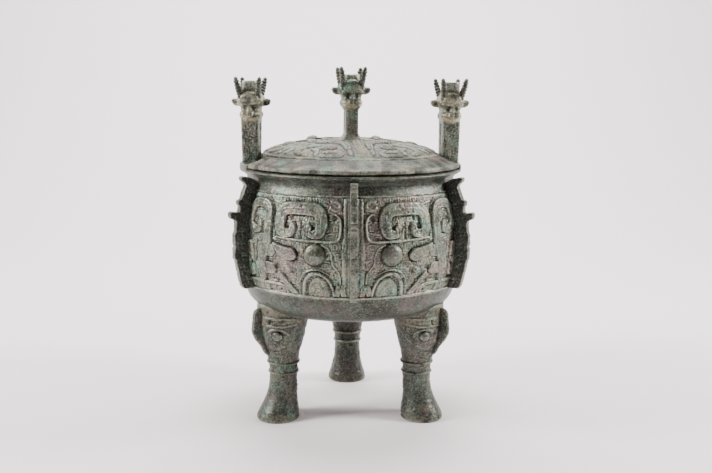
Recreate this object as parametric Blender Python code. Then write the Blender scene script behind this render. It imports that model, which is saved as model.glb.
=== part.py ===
# Bronze ding vessel: a three-legged lidded cauldron with beast-headed ear posts.
# Two castings: the vessel (bowl, rim, flanges, legs and ear posts in one) and its lift-off lid.
# Front of the object faces -Y, up is +Z, the origin is the centre of the bounding box bottom.

import math
import bpy
import bmesh
import numpy as np

MM = 0.001

# Counts of facets round the turned parts
SEGMENTS_OUT = 42
SEGMENTS_IN = 30
SEGMENTS_LID = 36
SEGMENTS_LEG = 14

# Driving sizes: the profiles below are shares of these
RIM_R = 90.2 * MM
RIM_TOP = 202.6 * MM
RIM_W = 11.0 * MM
LID_RISE = 23.0 * MM
MOUTH_R = RIM_R - RIM_W
MOUTH_DEPTH = 7.6 * MM
CUT_PAST = 1.4 * MM

# Carving on the band, three masks at these azimuths
MASKS_DEG = (0.0, 120.0, -120.0)
RELIEF = 2.1 * MM
SINK = 1.3 * MM
EYE_RISE = 4.2 * MM
LID_RELIEF = 1.7 * MM
LID_EYE_RISE = 3.2 * MM
LEG_RELIEF = 2.2 * MM

# Flanges
FLANGES_DEG = (0.0, 60.0, 120.0, 180.0, -120.0, -60.0)
FLANGE_T = 5.6 * MM

# Legs
LEGS_DEG = (-60.0, 60.0, 180.0)
NOSE_T = 4.6 * MM

# Lid and its fit on the rim
LID_TURN_DEG = 6.0
LID_INSET = 1.2 * MM
LID_R = RIM_R - LID_INSET
LID_TOP = RIM_TOP + LID_RISE
LID_SHELL = 4.3 * MM
SEAT_W = 2.8 * MM
SEAT_GAP = 0.3 * MM
LIP_GAP = 0.7 * MM
LIP_T = 2.8 * MM
LIP_DEEP = 7.1 * MM
LIP_FILLET = 3.1 * MM
LID_NOSE_T = 3.2 * MM

# Notches of the lid and the raised shelves of the rim that fill them
NOTCH_W = 56.4 * MM
NOTCH_REACH = 8.6 * MM
NOTCH_IN = MOUTH_R - NOTCH_REACH
KEY_GAP = 1.1 * MM
KEY_RISE = 3.8 * MM
KEY_SUNK = 2.6 * MM
KEY_TOP = RIM_TOP + KEY_RISE
KEY_OVER = 0.4 * MM

# Ear posts
EAR_X = MOUTH_R + 1.4 * MM
EAR_HEAD_X = EAR_X + 0.6 * MM
EAR_TURN_DEG = 6.5
EAR_W_LOW = 13.4 * MM
EAR_W_HIGH = 14.8 * MM
EAR_D = 18.0 * MM
EAR_CHIN = RIM_TOP + 37.6 * MM
EAR_ROOT = 3.0 * MM
EAR_GROOVE_W = 4.0 * MM
EAR_GROOVE_D = 1.2 * MM

# Knob post
KNOB_W = 10.8 * MM
KNOB_D = 15.0 * MM
KNOB_CHIN = LID_TOP + 24.4 * MM
KNOB_FOOT = 3.2 * MM
KNOB_ROOT = 2.6 * MM

# Outer profile of the bowl: shares of the rim radius and of the rim height
BOWL_SHARE = (
    (0.0, 0.4146), (0.4989, 0.4186), (0.7095, 0.4324), (0.8603, 0.4571), (0.9379, 0.4936), (0.9756, 0.5449),
    (0.9911, 0.5528), (0.9889, 0.5597), (1.0188, 0.6269), (1.0344, 0.7157), (1.0266, 0.7897),
    (0.9667, 0.92), (0.959, 0.9225), (0.9645, 0.926), (0.9357, 0.9536), (0.9379, 0.9684),
    (0.9956, 0.9901), (1.0, 0.9941), (0.98, 1.0), (0.0, 1.0),
)
BAND_SHARE = (0.5528, 0.9225)

# Hollow of the bowl below the mouth, same shares
HOLLOW_SHARE = (
    (0.0, 0.4353), (0.4989, 0.4393), (0.7539, 0.465), (0.9024, 0.5133), (0.9601, 0.612), (0.9845, 0.7305),
    (0.9534, 0.8539),
)

# Outline of a flange, same shares
FLANGE_SHARE = (
    (0.9534, 0.5474), (1.0843, 0.5474), (1.1064, 0.5597), (1.1497, 0.6417), (1.1696, 0.6861), (1.1729, 0.7305),
    (1.1552, 0.7996), (1.1552, 0.8154), (1.1951, 0.8263), (1.2073, 0.8381), (1.2007, 0.85), (1.1275, 0.847),
    (1.122, 0.8731), (1.1308, 0.8756), (1.1286, 0.8919), (1.102, 0.8973), (1.0588, 0.9467),
    (1.1064, 0.9704), (1.0909, 0.9822), (1.0044, 0.9753), (0.9623, 0.9635), (0.9157, 0.9546),
    (0.9823, 0.7897), (0.9756, 0.6417),
)

# Leg rings: height as a share of the rim height, then shares of the rim radius for the
# distance of the centre from the axis and for the radial and tangential half widths
LEG_SHARE = (
    (0.0, 0.755, 0.1885, 0.1885), (0.0148, 0.7528, 0.1885, 0.1885), (0.0592, 0.7284, 0.1608, 0.1608),
    (0.1185, 0.7029, 0.1308, 0.1308), (0.1895, 0.694, 0.1264, 0.1264), (0.1945, 0.694, 0.1408, 0.1408),
    (0.2014, 0.694, 0.1408, 0.1408), (0.2063, 0.694, 0.1308, 0.1308), (0.229, 0.6962, 0.1353, 0.1353),
    (0.234, 0.6962, 0.1508, 0.1508), (0.2419, 0.6962, 0.1508, 0.1508), (0.2468, 0.6962, 0.143, 0.143),
    (0.2813, 0.7007, 0.1563, 0.163), (0.3307, 0.7106, 0.1951, 0.2106), (0.3751, 0.7118, 0.2173, 0.235),
    (0.4788, 0.6874, 0.2373, 0.255),
)

# Nose flange of a leg mask, shares of the rim radius and height
NOSE_SHARE = (
    (0.7761, 0.2646), (0.8758, 0.2675), (0.9157, 0.3011), (0.9712, 0.3337), (1.0044, 0.3682),
    (1.0011, 0.3949), (0.9812, 0.4511), (0.9379, 0.46), (0.7761, 0.46),
)

# Eye and brow of a leg mask: centre and half widths as shares of the rim radius, heights of the rim height
LEG_EYE_SHARE = (0.7118, 0.2106, 0.2262, 0.3578)
LEG_EYE_DEG = 50.0
LEG_EYE_SPREAD_DEG = 13.0
LEG_EYE_R = 3.6 * MM
LEG_BROW_SHARE = (0.7073, 0.2262, 0.2439)
LEG_BROW_HEIGHT_SHARE = (0.3998, 0.4018, 0.4245, 0.4274)
LEG_BROW_DEG = (8, 38, 66, 96)

# Strips of the mask, half of it: azimuth in degrees, share of the rim height, half width in millimetres
RAM_HORN_STRIP = (
    (21.0, 0.8154, 2.2), (20.2, 0.7927, 2.5), (16.1, 0.7966, 3.5), (15.2, 0.8317, 4.6),
    (17.2, 0.8756, 4.6), (25.6, 0.883, 4.4), (34.2, 0.8756, 4.5),
    (36.0, 0.8317, 4.4), (34.9, 0.7966, 3.4), (30.2, 0.7922, 2.5), (29.1, 0.8179, 2.2),
)
TAIL_STRIP = (
    (47.8, 0.612, 3.9), (47.2, 0.6861, 4.3), (43.4, 0.7799, 3.3),
    (44.0, 0.8667, 3.5), (47.6, 0.8894, 3.2), (54.6, 0.8875, 3.2), (57.3, 0.8539, 2.7),
    (56.0, 0.8016, 2.5), (51.4, 0.7878, 2.4), (49.2, 0.8144, 2.0),
)
LEAF_STRIP = ((39.4, 0.7483, 0.5), (35.6, 0.7246, 3.5), (28.6, 0.7117, 4.1))
JAW_STRIP = (
    (8.8, 0.5607, 1.2), (10.6, 0.618, 1.2), (16.3, 0.6486, 1.3), (22.0, 0.6249, 1.2), (23.8, 0.5607, 1.2),
)
NOSTRIL_STRIP = ((6.1, 0.5627, 3.2), (6.1, 0.6051, 2.4))
PAW_STRIP = ((58.0, 0.5874, 1.4), (36.4, 0.5903, 1.4), (32.6, 0.5607, 1.4))
EYE_SPOT = (18.9, 0.7142, 7.2)

# Lid profile: shares of the lid radius and of its rise above the rim
LID_SHARE = (
    (0.0, 1.0), (0.2921, 0.9652), (0.5393, 0.8087), (0.7169, 0.6696), (0.7326, 0.6087),
    (0.8315, 0.4522), (0.9843, 0.2087), (1.0, 0.1565), (1.0, 0.0609), (0.9708, 0.0522),
)
LID_DOME = 7
LID_IN_SHARE = ((0.6517, 0.4696), (0.3596, 0.7304))
LIP_ROOT_SHARE = 0.1652
LID_NOSE_SHARE = (
    (0.2247, 0.7565), (0.6854, 0.5217), (0.7124, 0.6261), (0.7079, 0.7652), (0.4494, 0.9478), (0.2247, 1.0609),
)

# Carving on the lid: azimuth in degrees, share of the lid radius, half width in millimetres
LID_EYE_SPOT = (27.0, 0.5169, 5.4)
LID_SCROLL_STRIP = ((25.0, 0.6337, 1.6), (15.4, 0.6315, 1.8), (14.0, 0.6854, 1.8), (25.6, 0.6944, 1.6))
LID_HORN_STRIP = ((11.0, 0.5281, 1.6), (14.6, 0.3708, 2.3), (52.0, 0.3371, 1.9))

# Beast head: height above the chin, half width, half depth in millimetres
HEAD_RINGS = (
    (-0.6, 6.6, 9.4), (1.8, 8.3, 11.3), (6.8, 8.3, 11.2), (8.6, 7.4, 8.9), (12.4, 7.6, 8.9),
    (13.2, 9.9, 11.0), (17.4, 10.2, 11.2), (22.4, 7.0, 9.0),
)
HEAD_CORNER = 2.2
HEAD_SIDE_EAR = ((6.6, 9.0), (11.6, 10.2), (14.8, 12.6), (16.3, 16.2), (13.0, 16.4), (9.8, 18.4), (6.6, 18.2))
HEAD_SIDE_EAR_T = 5.6
HORN_FOOT = (5.6, 7.4)
HORN_LEAN = (4.4, 6.4)
HORN_RINGS = ((0.0, 2.9), (0.86, 1.9), (1.0, 1.0))

# Crown of a head and foot and tip of its horns above the chin, ear posts then knob
EAR_HEAD = (31.6, 19.0, 34.8)
KNOB_HEAD = (27.6, 16.6, 33.6)


def clear_scene():
    for o in list(bpy.data.objects):
        bpy.data.objects.remove(o, do_unlink=True)


def solid(name, verts, faces):
    mesh = bpy.data.meshes.new(name)
    mesh.from_pydata([tuple(map(float, v)) for v in verts], [], faces)
    bm = bmesh.new()
    bm.from_mesh(mesh)
    bmesh.ops.remove_doubles(bm, verts=bm.verts, dist=1e-7)
    bmesh.ops.recalc_face_normals(bm, faces=bm.faces)
    bmesh.ops.triangulate(bm, faces=bm.faces)
    bm.to_mesh(mesh)
    bm.free()
    obj = bpy.data.objects.new(name, mesh)
    bpy.context.scene.collection.objects.link(obj)
    return obj


def polar(az, r, z):
    a = math.radians(az)
    return (r * math.sin(a), -r * math.cos(a), z)


def framed(az, out, side, z):
    """A point at a distance out along an azimuth and a distance sideways from it."""
    a = math.radians(az)
    return (out * math.sin(a) + side * math.cos(a), side * math.sin(a) - out * math.cos(a), z)


def placed(centre, turn, x, y, z):
    """A point turned about the vertical and moved to a centre."""
    a = math.radians(turn)
    return (
        centre[0] + x * math.cos(a) - y * math.sin(a),
        centre[1] + x * math.sin(a) + y * math.cos(a),
        z,
    )


def of_rim(shares):
    return [(r * RIM_R, z * RIM_TOP) for r, z in shares]


def of_lid(shares):
    return [(r * LID_R, RIM_TOP + z * LID_RISE) for r, z in shares]


def loft(name, rings):
    n = len(rings[0])
    verts = [v for ring in rings for v in ring]
    faces = []
    for i in range(len(rings) - 1):
        for j in range(n):
            k = (j + 1) % n
            faces.append((i * n + j, i * n + k, (i + 1) * n + k, (i + 1) * n + j))
    faces.append(tuple(reversed(range(n))))
    faces.append(tuple((len(rings) - 1) * n + j for j in range(n)))
    return solid(name, verts, faces)


def turned(name, profile, count):
    verts = []
    faces = []
    rows = []
    for r, z in profile:
        if r == 0.0:
            rows.append([len(verts)])
            verts.append((0.0, 0.0, z))
        else:
            rows.append(list(range(len(verts), len(verts) + count)))
            verts += [polar(360.0 * j / count, r, z) for j in range(count)]
    for a, b in zip(rows, rows[1:]):
        for j in range(count):
            k = (j + 1) % count
            if len(a) == 1:
                faces.append((a[0], b[j], b[k]))
            elif len(b) == 1:
                faces.append((a[j], a[k], b[0]))
            else:
                faces.append((a[j], a[k], b[k], b[j]))
    return solid(name, verts, faces)


def plate(name, outline, thick, az):
    return loft(name, [[framed(az, r, s * thick, z) for r, z in outline] for s in (-0.5, 0.5)])


def bowl_radius(z):
    low, high = BAND_SHARE
    band = [(h * RIM_TOP, r * RIM_R) for r, h in BOWL_SHARE if low <= h <= high]
    return float(np.interp(z, [p[0] for p in band], [p[1] for p in band]))


def lid_height(r):
    dome = of_lid(LID_SHARE[:LID_DOME])
    return float(np.interp(r, [p[0] for p in dome], [p[1] for p in dome]))


def on_bowl(az, z, lift):
    return polar(az, bowl_radius(z) + lift, z)


def on_lid(az, r, lift):
    return polar(az, r, lid_height(r) + lift)


def strip(name, path, centre, flip, place, high, scale):
    """A raised band of the carving along a path of azimuth, position and half width."""
    pts = np.array([[p[0] * scale(p[1]), p[1]] for p in path])
    tangent = np.gradient(pts, axis=0)
    tangent /= np.linalg.norm(tangent, axis=1)[:, None]
    normal = np.stack([-tangent[:, 1], tangent[:, 0]], 1)
    taper = 0.2 * MM
    rings = []
    for p, q, n in zip(path, pts, normal):
        ring = []
        for side, lift, w in ((-1, -SINK, taper), (1, -SINK, taper), (1, high, -taper), (-1, high, -taper)):
            e = q + n * side * (p[2] * MM + w)
            ring.append(place(centre + flip * e[0] / scale(p[1]), e[1], lift))
        rings.append(ring)
    return loft(name, rings)


def boss(name, az, pos, radius, rise, place, scale):
    rings = []
    for f, lift in ((1.06, -SINK), (0.94, rise * 0.36), (0.48, rise * 0.96)):
        ring = []
        for j in range(8):
            t = 2 * math.pi * j / 8
            ring.append(place(az + radius * f * math.cos(t) / scale, pos + radius * f * math.sin(t), lift))
        rings.append(ring)
    return loft(name, rings)


def box(name, size, centre, turn):
    """An upright box, or a tapering post where size gives the width at its foot and at its top."""
    low, high, deep, tall = size
    rings = []
    for s, w in ((-0.5, low), (0.5, high)):
        rings.append([
            placed(centre, turn, x * w / 2, y * deep / 2, centre[2] + s * tall)
            for x, y in ((-1, -1), (1, -1), (1, 1), (-1, 1))
        ])
    return loft(name, rings)


def sector(name, width, r_in, r_out, low, high, az):
    """A block with parallel sides, flat inside and round outside, pointing along an azimuth."""
    steps = 6
    half = math.degrees(math.asin(width / 2 / r_out))
    rings = []
    for z in (low, high):
        ring = [polar(az - half + 2 * half * j / steps, r_out, z) for j in range(steps + 1)]
        ring += [framed(az, r_in, width / 2, z), framed(az, r_in, -width / 2, z)]
        rings.append(ring)
    return loft(name, rings)


def combine(target, tools, operation):
    for tool in tools:
        mod = target.modifiers.new("Combine", "BOOLEAN")
        mod.operation = operation
        mod.solver = "EXACT"
        mod.object = tool
        mod.show_render = mod.show_viewport
        dg = bpy.context.evaluated_depsgraph_get()
        mesh = bpy.data.meshes.new_from_object(target.evaluated_get(dg))
        target.modifiers.remove(mod)
        old = target.data
        target.data = mesh
        bpy.data.meshes.remove(old)
        bpy.data.objects.remove(tool, do_unlink=True)
    return target


def tidy(obj):
    bm = bmesh.new()
    bm.from_mesh(obj.data)
    bmesh.ops.remove_doubles(bm, verts=bm.verts, dist=9e-5)
    bmesh.ops.dissolve_limit(bm, angle_limit=math.radians(2.4), verts=bm.verts, edges=bm.edges)
    bmesh.ops.triangulate(bm, faces=bm.faces)
    bmesh.ops.dissolve_degenerate(bm, dist=1e-5, edges=bm.edges)
    bmesh.ops.triangulate(bm, faces=bm.faces)
    bmesh.ops.recalc_face_normals(bm, faces=bm.faces)
    bm.to_mesh(obj.data)
    bm.free()


def head(name, x0, chin, turn, rises):
    """A beast head facing both ways, with side ears and four horns."""
    crown, horn_low, horn_high = rises

    def at(x, y, z):
        return placed((x0, 0.0), turn, x * MM, y * MM, chin + z * MM)

    rings = []
    c = HEAD_CORNER
    for z, w, d in HEAD_RINGS + ((crown, 5.6, 7.6),):
        corners = (
            (w, -d + c), (w, d - c), (w - c, d), (c - w, d), (-w, d - c), (-w, c - d), (c - w, -d), (w - c, -d),
        )
        rings.append([at(x, y, z) for x, y in corners])
    parts = [loft(name, rings)]
    for s in (-1, 1):
        leaf = []
        for y in (-HEAD_SIDE_EAR_T / 2, HEAD_SIDE_EAR_T / 2):
            leaf.append([at(s * px, y, pz) for px, pz in HEAD_SIDE_EAR])
        parts.append(loft(name + "_side", leaf))
        for f in (-1, 1):
            horn = []
            for t, r in HORN_RINGS:
                hx = s * (HORN_FOOT[0] + HORN_LEAN[0] * t)
                hy = f * (HORN_FOOT[1] + HORN_LEAN[1] * t)
                hz = horn_low + (horn_high - horn_low) * t
                ring = []
                for j in range(6):
                    u = 2 * math.pi * j / 6
                    ring.append(at(hx + r * math.cos(u), hy + r * math.sin(u), hz))
                horn.append(ring)
            parts.append(loft(name + "_horn", horn))
    return parts


def bowl_scale(z):
    return math.radians(1) * bowl_radius(z)


def lid_scale(r):
    return math.radians(1) * r


def shared(path, size):
    """A path with its positions turned from shares into lengths."""
    return [(az, share * size, half) for az, share, half in path]


def band_carving():
    parts = []
    for mask in MASKS_DEG:
        for flip in (-1, 1):
            for name, path in (
                ("RamHorn", RAM_HORN_STRIP), ("Tail", TAIL_STRIP), ("Leaf", LEAF_STRIP),
                ("Jaw", JAW_STRIP), ("Nostril", NOSTRIL_STRIP), ("Paw", PAW_STRIP),
            ):
                parts.append(strip(name, shared(path, RIM_TOP), mask, flip, on_bowl, RELIEF, bowl_scale))
            az, share, radius = EYE_SPOT
            z = share * RIM_TOP
            parts.append(boss("Eye", mask + flip * az, z, radius * MM, EYE_RISE, on_bowl, bowl_scale(z)))
    return parts


def leg_parts(az):
    rings = []
    for share, *across in LEG_SHARE:
        c, wo, wt = (v * RIM_R for v in across)
        ring = []
        for j in range(SEGMENTS_LEG):
            u = 2 * math.pi * (j + 0.5) / SEGMENTS_LEG
            ring.append(framed(az, c + wo * math.cos(u), wt * math.sin(u), share * RIM_TOP))
        rings.append(ring)
    parts = [loft("Leg", rings), plate("LegNose", of_rim(NOSE_SHARE), NOSE_T, az)]
    for s in (-1, 1):
        c, wo, wt = (v * RIM_R for v in LEG_EYE_SHARE[:3])
        eye = []
        for f, lift in ((1.05, -LEG_RELIEF), (1.0, 0.2 * LEG_RELIEF), (0.7, 1.1 * LEG_RELIEF)):
            ring = []
            for j in range(6):
                u = 2 * math.pi * j / 6
                ang = math.radians(s * (LEG_EYE_DEG + LEG_EYE_SPREAD_DEG * f * math.cos(u)))
                z = LEG_EYE_SHARE[3] * RIM_TOP + LEG_EYE_R * f * math.sin(u)
                ring.append(framed(az, c + (wo + lift) * math.cos(ang), (wt + lift) * math.sin(ang), z))
            eye.append(ring)
        parts.append(loft("LegEye", eye))
        c, wo, wt = (v * RIM_R for v in LEG_BROW_SHARE)
        brow = []
        for deg in LEG_BROW_DEG:
            ang = math.radians(s * deg)
            ring = []
            for rise, share in zip((-1, 1, 1, -1), LEG_BROW_HEIGHT_SHARE):
                lift, z = rise * LEG_RELIEF, share * RIM_TOP
                ring.append(framed(az, c + (wo + lift) * math.cos(ang), (wt + lift) * math.sin(ang), z))
            brow.append(ring)
        parts.append(loft("LegBrow", brow))
    return parts


def build_vessel():
    body = turned("vessel", of_rim(BOWL_SHARE), SEGMENTS_OUT)
    parts = band_carving()
    parts += [plate("Flange", of_rim(FLANGE_SHARE), FLANGE_T, az) for az in FLANGES_DEG]
    for az in LEGS_DEG:
        parts += leg_parts(az)
    combine(body, parts, "UNION")
    mouth = [(MOUTH_R, RIM_TOP - MOUTH_DEPTH), (MOUTH_R, RIM_TOP + CUT_PAST), (0.0, RIM_TOP + CUT_PAST)]
    combine(body, [turned("Hollow", of_rim(HOLLOW_SHARE) + mouth, SEGMENTS_IN)], "DIFFERENCE")

    # Shelves and ear posts are joined after the hollow is cut, so they keep what reaches over the mouth
    parts = []
    for side in (-1, 1):
        parts.append(sector("Key", NOTCH_W - 2 * KEY_GAP, NOTCH_IN + KEY_GAP, RIM_R + KEY_OVER,
                            RIM_TOP - KEY_SUNK, KEY_TOP, side * 90.0 + LID_TURN_DEG))
        turn = side * EAR_TURN_DEG
        low, high = KEY_TOP - EAR_ROOT, EAR_CHIN + EAR_ROOT
        parts.append(box("Ear", (EAR_W_LOW, EAR_W_HIGH, EAR_D, high - low),
                         (side * EAR_X, 0.0, (low + high) / 2), turn))
        parts += head("EarHead", side * EAR_HEAD_X, EAR_CHIN, turn, EAR_HEAD)
    combine(body, parts, "UNION")

    cuts = []
    tall = EAR_CHIN - KEY_TOP - EAR_ROOT
    for side in (-1, 1):
        turn = side * EAR_TURN_DEG
        for s in (-1, 1):
            centre = placed((side * EAR_X, 0.0), turn, s * EAR_W_HIGH / 2, 0.0, (KEY_TOP + EAR_CHIN) / 2)
            cuts.append(box("EarGroove", (EAR_GROOVE_D * 2, EAR_GROOVE_D * 2, EAR_GROOVE_W, tall), centre, turn))
    combine(body, cuts, "DIFFERENCE")
    return body


def lid_profile():
    lip = MOUTH_R - LIP_GAP
    seat = RIM_TOP + SEAT_GAP
    low = RIM_TOP - LIP_DEEP
    under = [(LID_R - SEAT_W, seat), (lip, seat), (lip, low), (lip - LIP_T, low),
             (lip - LIP_T - LIP_FILLET, RIM_TOP + LIP_ROOT_SHARE * LID_RISE)]
    return of_lid(LID_SHARE) + under + of_lid(LID_IN_SHARE) + [(0.0, LID_TOP - LID_SHELL)]


def build_lid():
    body = turned("lid", lid_profile(), SEGMENTS_LID)
    parts = []
    for mask in MASKS_DEG:
        centre = mask + LID_TURN_DEG
        for flip in (-1, 1):
            for name, path in (("LidScroll", LID_SCROLL_STRIP), ("LidHorn", LID_HORN_STRIP)):
                parts.append(strip(name, shared(path, LID_R), centre, flip, on_lid, LID_RELIEF, lid_scale))
            az, share, radius = LID_EYE_SPOT
            r = share * LID_R
            parts.append(boss("LidEye", centre + flip * az, r, radius * MM, LID_EYE_RISE, on_lid, lid_scale(r)))
        parts.append(plate("LidNose", of_lid(LID_NOSE_SHARE), LID_NOSE_T, centre))
    turn = LID_TURN_DEG
    low = LID_TOP - KNOB_ROOT
    foot = []
    for z, grow in ((low, KNOB_FOOT), (LID_TOP, KNOB_FOOT), (LID_TOP + 1.1 * KNOB_FOOT, 0.0)):
        w, d = KNOB_W / 2 + grow, KNOB_D / 2 + grow
        foot.append([placed((0.0, 0.0), turn, x * w, y * d, z) for x, y in ((-1, -1), (1, -1), (1, 1), (-1, 1))])
    parts.append(loft("KnobFoot", foot))
    high = KNOB_CHIN + KNOB_ROOT
    parts.append(box("Knob", (KNOB_W, KNOB_W, KNOB_D, high - low), (0.0, 0.0, (low + high) / 2), turn))
    parts += head("KnobHead", 0.0, KNOB_CHIN, turn, KNOB_HEAD)
    combine(body, parts, "UNION")
    cuts = []
    for side in (-1, 1):
        cuts.append(sector("Notch", NOTCH_W, NOTCH_IN, LID_R + NOTCH_REACH, RIM_TOP - 2 * LIP_DEEP,
                           LID_TOP + NOTCH_REACH, side * 90.0 + LID_TURN_DEG))
    combine(body, cuts, "DIFFERENCE")
    return body


def bronze(name, colour, rough):
    mat = bpy.data.materials.new(name)
    mat.use_nodes = True
    bsdf = mat.node_tree.nodes["Principled BSDF"]
    bsdf.inputs["Base Color"].default_value = colour
    bsdf.inputs["Roughness"].default_value = rough
    bsdf.inputs["Metallic"].default_value = 0.35
    return mat


def main():
    clear_scene()
    for obj, colour in ((build_vessel(), (0.29, 0.31, 0.27, 1.0)), (build_lid(), (0.34, 0.35, 0.31, 1.0))):
        tidy(obj)
        obj.data.materials.clear()
        obj.data.materials.append(bronze(obj.name + "_bronze", colour, 0.62))
        obj.data.shade_smooth()
        obj.data.set_sharp_from_angle(angle=math.radians(34))


main()
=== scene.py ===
"""Looks of a lidded bronze ding vessel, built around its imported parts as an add-on.

Sizes inside the builders are in millimetres in the row frame: front is -Y, up is +Z.
"""

import math

import bmesh
import bpy
import numpy as np
from mathutils import Matrix, Vector


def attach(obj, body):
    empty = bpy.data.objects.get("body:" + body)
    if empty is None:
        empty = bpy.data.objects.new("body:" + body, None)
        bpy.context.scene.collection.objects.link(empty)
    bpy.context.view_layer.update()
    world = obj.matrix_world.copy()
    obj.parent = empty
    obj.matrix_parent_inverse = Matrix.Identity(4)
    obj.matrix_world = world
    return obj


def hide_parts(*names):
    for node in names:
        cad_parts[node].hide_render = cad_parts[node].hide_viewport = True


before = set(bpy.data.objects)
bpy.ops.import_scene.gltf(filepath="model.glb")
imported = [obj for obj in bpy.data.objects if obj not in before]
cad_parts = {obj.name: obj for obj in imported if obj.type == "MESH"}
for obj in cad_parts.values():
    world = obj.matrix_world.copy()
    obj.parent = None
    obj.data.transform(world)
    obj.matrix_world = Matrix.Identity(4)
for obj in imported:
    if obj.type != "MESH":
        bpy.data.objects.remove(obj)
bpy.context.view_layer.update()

bl_info = {
    "name": "Bronze Ding Vessel",
    "version": (1, 0, 0),
    "blender": (4, 5, 0),
    "location": "View3D > Sidebar > Ding",
    "description": "Builds a lidded bronze ding vessel with carved masks, flanges and beast heads",
    "category": "Object",
}

MM = 0.001
DEG = math.pi / 180
MASKS = (0.0, 120.0, -120.0)
LEGS = (-60.0, 60.0, 180.0)
BAND_ARC = 92.0 * DEG
# Eye of a band mask and the slot beside its flange, which is painted dark as shade: degrees from the centre line,
# height and size
EYE_TURN, EYE_Z, EYE_RADIUS = 17.9, 144.9, 8.1
SLOT_TURN, SLOT_Z, SLOT_HALF, SLOT_WIDTH = 51.4, 137.2, 13.0, 1.7
RIM_TOP = 202.6
KEY_TOP = 206.4
LID_TURN = 6.0
# Lid notch for an ear post: its inner wall from the axis and half its width
NOTCH_INNER, NOTCH_HALF = 70.6, 28.2
EAR_X = 80.6
EAR_TURN = 6.5
EAR_CHIN = 240.2
KNOB_CHIN = 250.0
# Camera fitted to the photograph: place in millimetres, turn in degrees, pitch and roll in radians
CAMERA_PLACE = (5.064, -742.58, 267.113)
CAMERA_TURN, CAMERA_PITCH, CAMERA_ROLL = -2.0856, 0.1639, 0.0085

# Outer profile of the bowl, radius and height, sunk behind the carved band
BOWL_OUT = (
    (0, 84), (25, 84.2), (45, 84.8), (56, 86), (64, 87.6), (71.5, 89.8), (77.6, 92.6), (81.8, 96), (84.6, 100),
    (86.6, 105), (88, 110.4), (87.7, 111.4), (88, 112.6), (87.7, 114), (90.7, 127), (92.1, 145), (91.4, 160),
    (86, 186.2), (85.6, 187.4), (86.6, 188), (86.3, 188.8), (85.2, 191.4), (84.5, 194), (84.6, 196.2),
    (86.3, 198.4), (88.9, 200.1), (90, 200.9), (90.2, 201.5), (89.7, 202.2), (88.6, RIM_TOP),
)
BOWL_IN = (
    (80.2, RIM_TOP), (79.4, 202.1), (79.2, 201.2), (79.2, 195), (80.8, 189), (86, 173), (88.2, 160), (88.8, 148),
    (88.2, 136), (86.6, 124), (84.8, 113), (81.4, 104), (76, 98), (68, 94.2), (56, 91), (45, 89), (22, 88.3),
    (0, 88.2),
)
# Ground of the carved band, height and radius
BAND_GROUND = (
    (110.6, 87.9), (111.2, 89.3), (112.2, 89.9), (113.1, 89.6), (113.6, 88.7), (114.3, 89.3), (120, 90.6),
    (127, 91.8), (136, 92.8), (145, 93.3), (153, 93.15), (160, 92.5), (168, 91.1), (177, 89.2), (185.6, 87.35),
    (186.4, 86.9), (187, 86.2), (187.6, 86.6), (188.1, 86.9), (188.7, 86.2),
)
# Flange outline, distance from the axis and height
FLANGE = (
    (87.4, 111), (97.6, 110.9), (99.9, 113.4), (102, 121.5), (103.9, 131), (104.6, 134.4), (105.6, 135.4),
    (105.8, 143.6), (105, 144.4), (105, 145.6), (105.9, 146.4), (105.6, 154.8), (104.6, 155.8), (104, 162.4),
    (104.3, 165.2), (107.8, 166.6), (108.9, 168.4), (108.8, 171.4), (107.2, 172.3), (102.2, 171.2), (101.1, 172.4),
    (101, 176.4), (102.2, 177.2), (102.1, 180.6), (99.5, 181.6), (97.2, 187.4), (95.6, 191.8), (97.2, 194.2),
    (99.8, 196.3), (99.3, 198.6), (97.6, 199.2), (91, 197.7), (87, 195.4), (83.4, 193.2), (86.6, 176), (89.8, 160),
    (90.8, 146), (89.4, 128),
)
# Leg rings: height, centre from the axis, radial and tangential half widths
LEG = (
    (0, 68.1, 16.4, 16.4), (0.8, 68.1, 17.1, 17.1), (3, 67.9, 17.1, 17), (7, 67, 16.2, 16), (12, 65.7, 14.5, 14.5),
    (18, 64.4, 12.9, 12.9), (24, 63.4, 11.9, 11.9), (31, 62.8, 11.4, 11.5), (38.4, 62.6, 11.4, 11.4),
    (43, 62.6, 11.7, 11.7), (50, 62.8, 12.8, 12.9), (57, 63.2, 14.2, 14.8), (62, 63.7, 16, 17),
    (67, 64.1, 17.6, 19), (72, 64.2, 18.9, 20.4), (76, 64.2, 19.6, 21.2), (84, 63.4, 20.4, 22.2), (97, 62, 21.4, 23),
)
LEG_NOSE = (
    (70, 53.8), (78.8, 54.2), (80, 56), (82.6, 61), (85.6, 65), (87.8, 67.8), (90.4, 73.4), (90.8, 76.4), (90.2, 80),
    (89.4, 88.6), (88.3, 91.6), (85.2, 93.3), (72, 92),
)
# Dome of the lid, radius and height
LID_DOME = (
    (0, 225.6), (26, 224.8), (48, 221.4), (56, 219.9), (62, 218.4), (66, 216.8), (70, 215.0), (75, 212.8),
    (81, 210.2), (87.2, 207.6), (88.5, 206.9), (89, 206.1),
)
LID_UNDER = (
    (89, 204.7), (88.4, 204.1), (86.4, 203.8), (86.1, 202.9), (78.5, 202.9), (78.5, 196.1), (77.9, 195.5),
    (76.3, 195.5), (75.7, 196.1), (75.4, 203), (72.6, 206.4), (66, 209.8), (58, 213.4), (45, 216.8), (32, 219.4),
    (16, 220.9),
)


# Property groups


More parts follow.
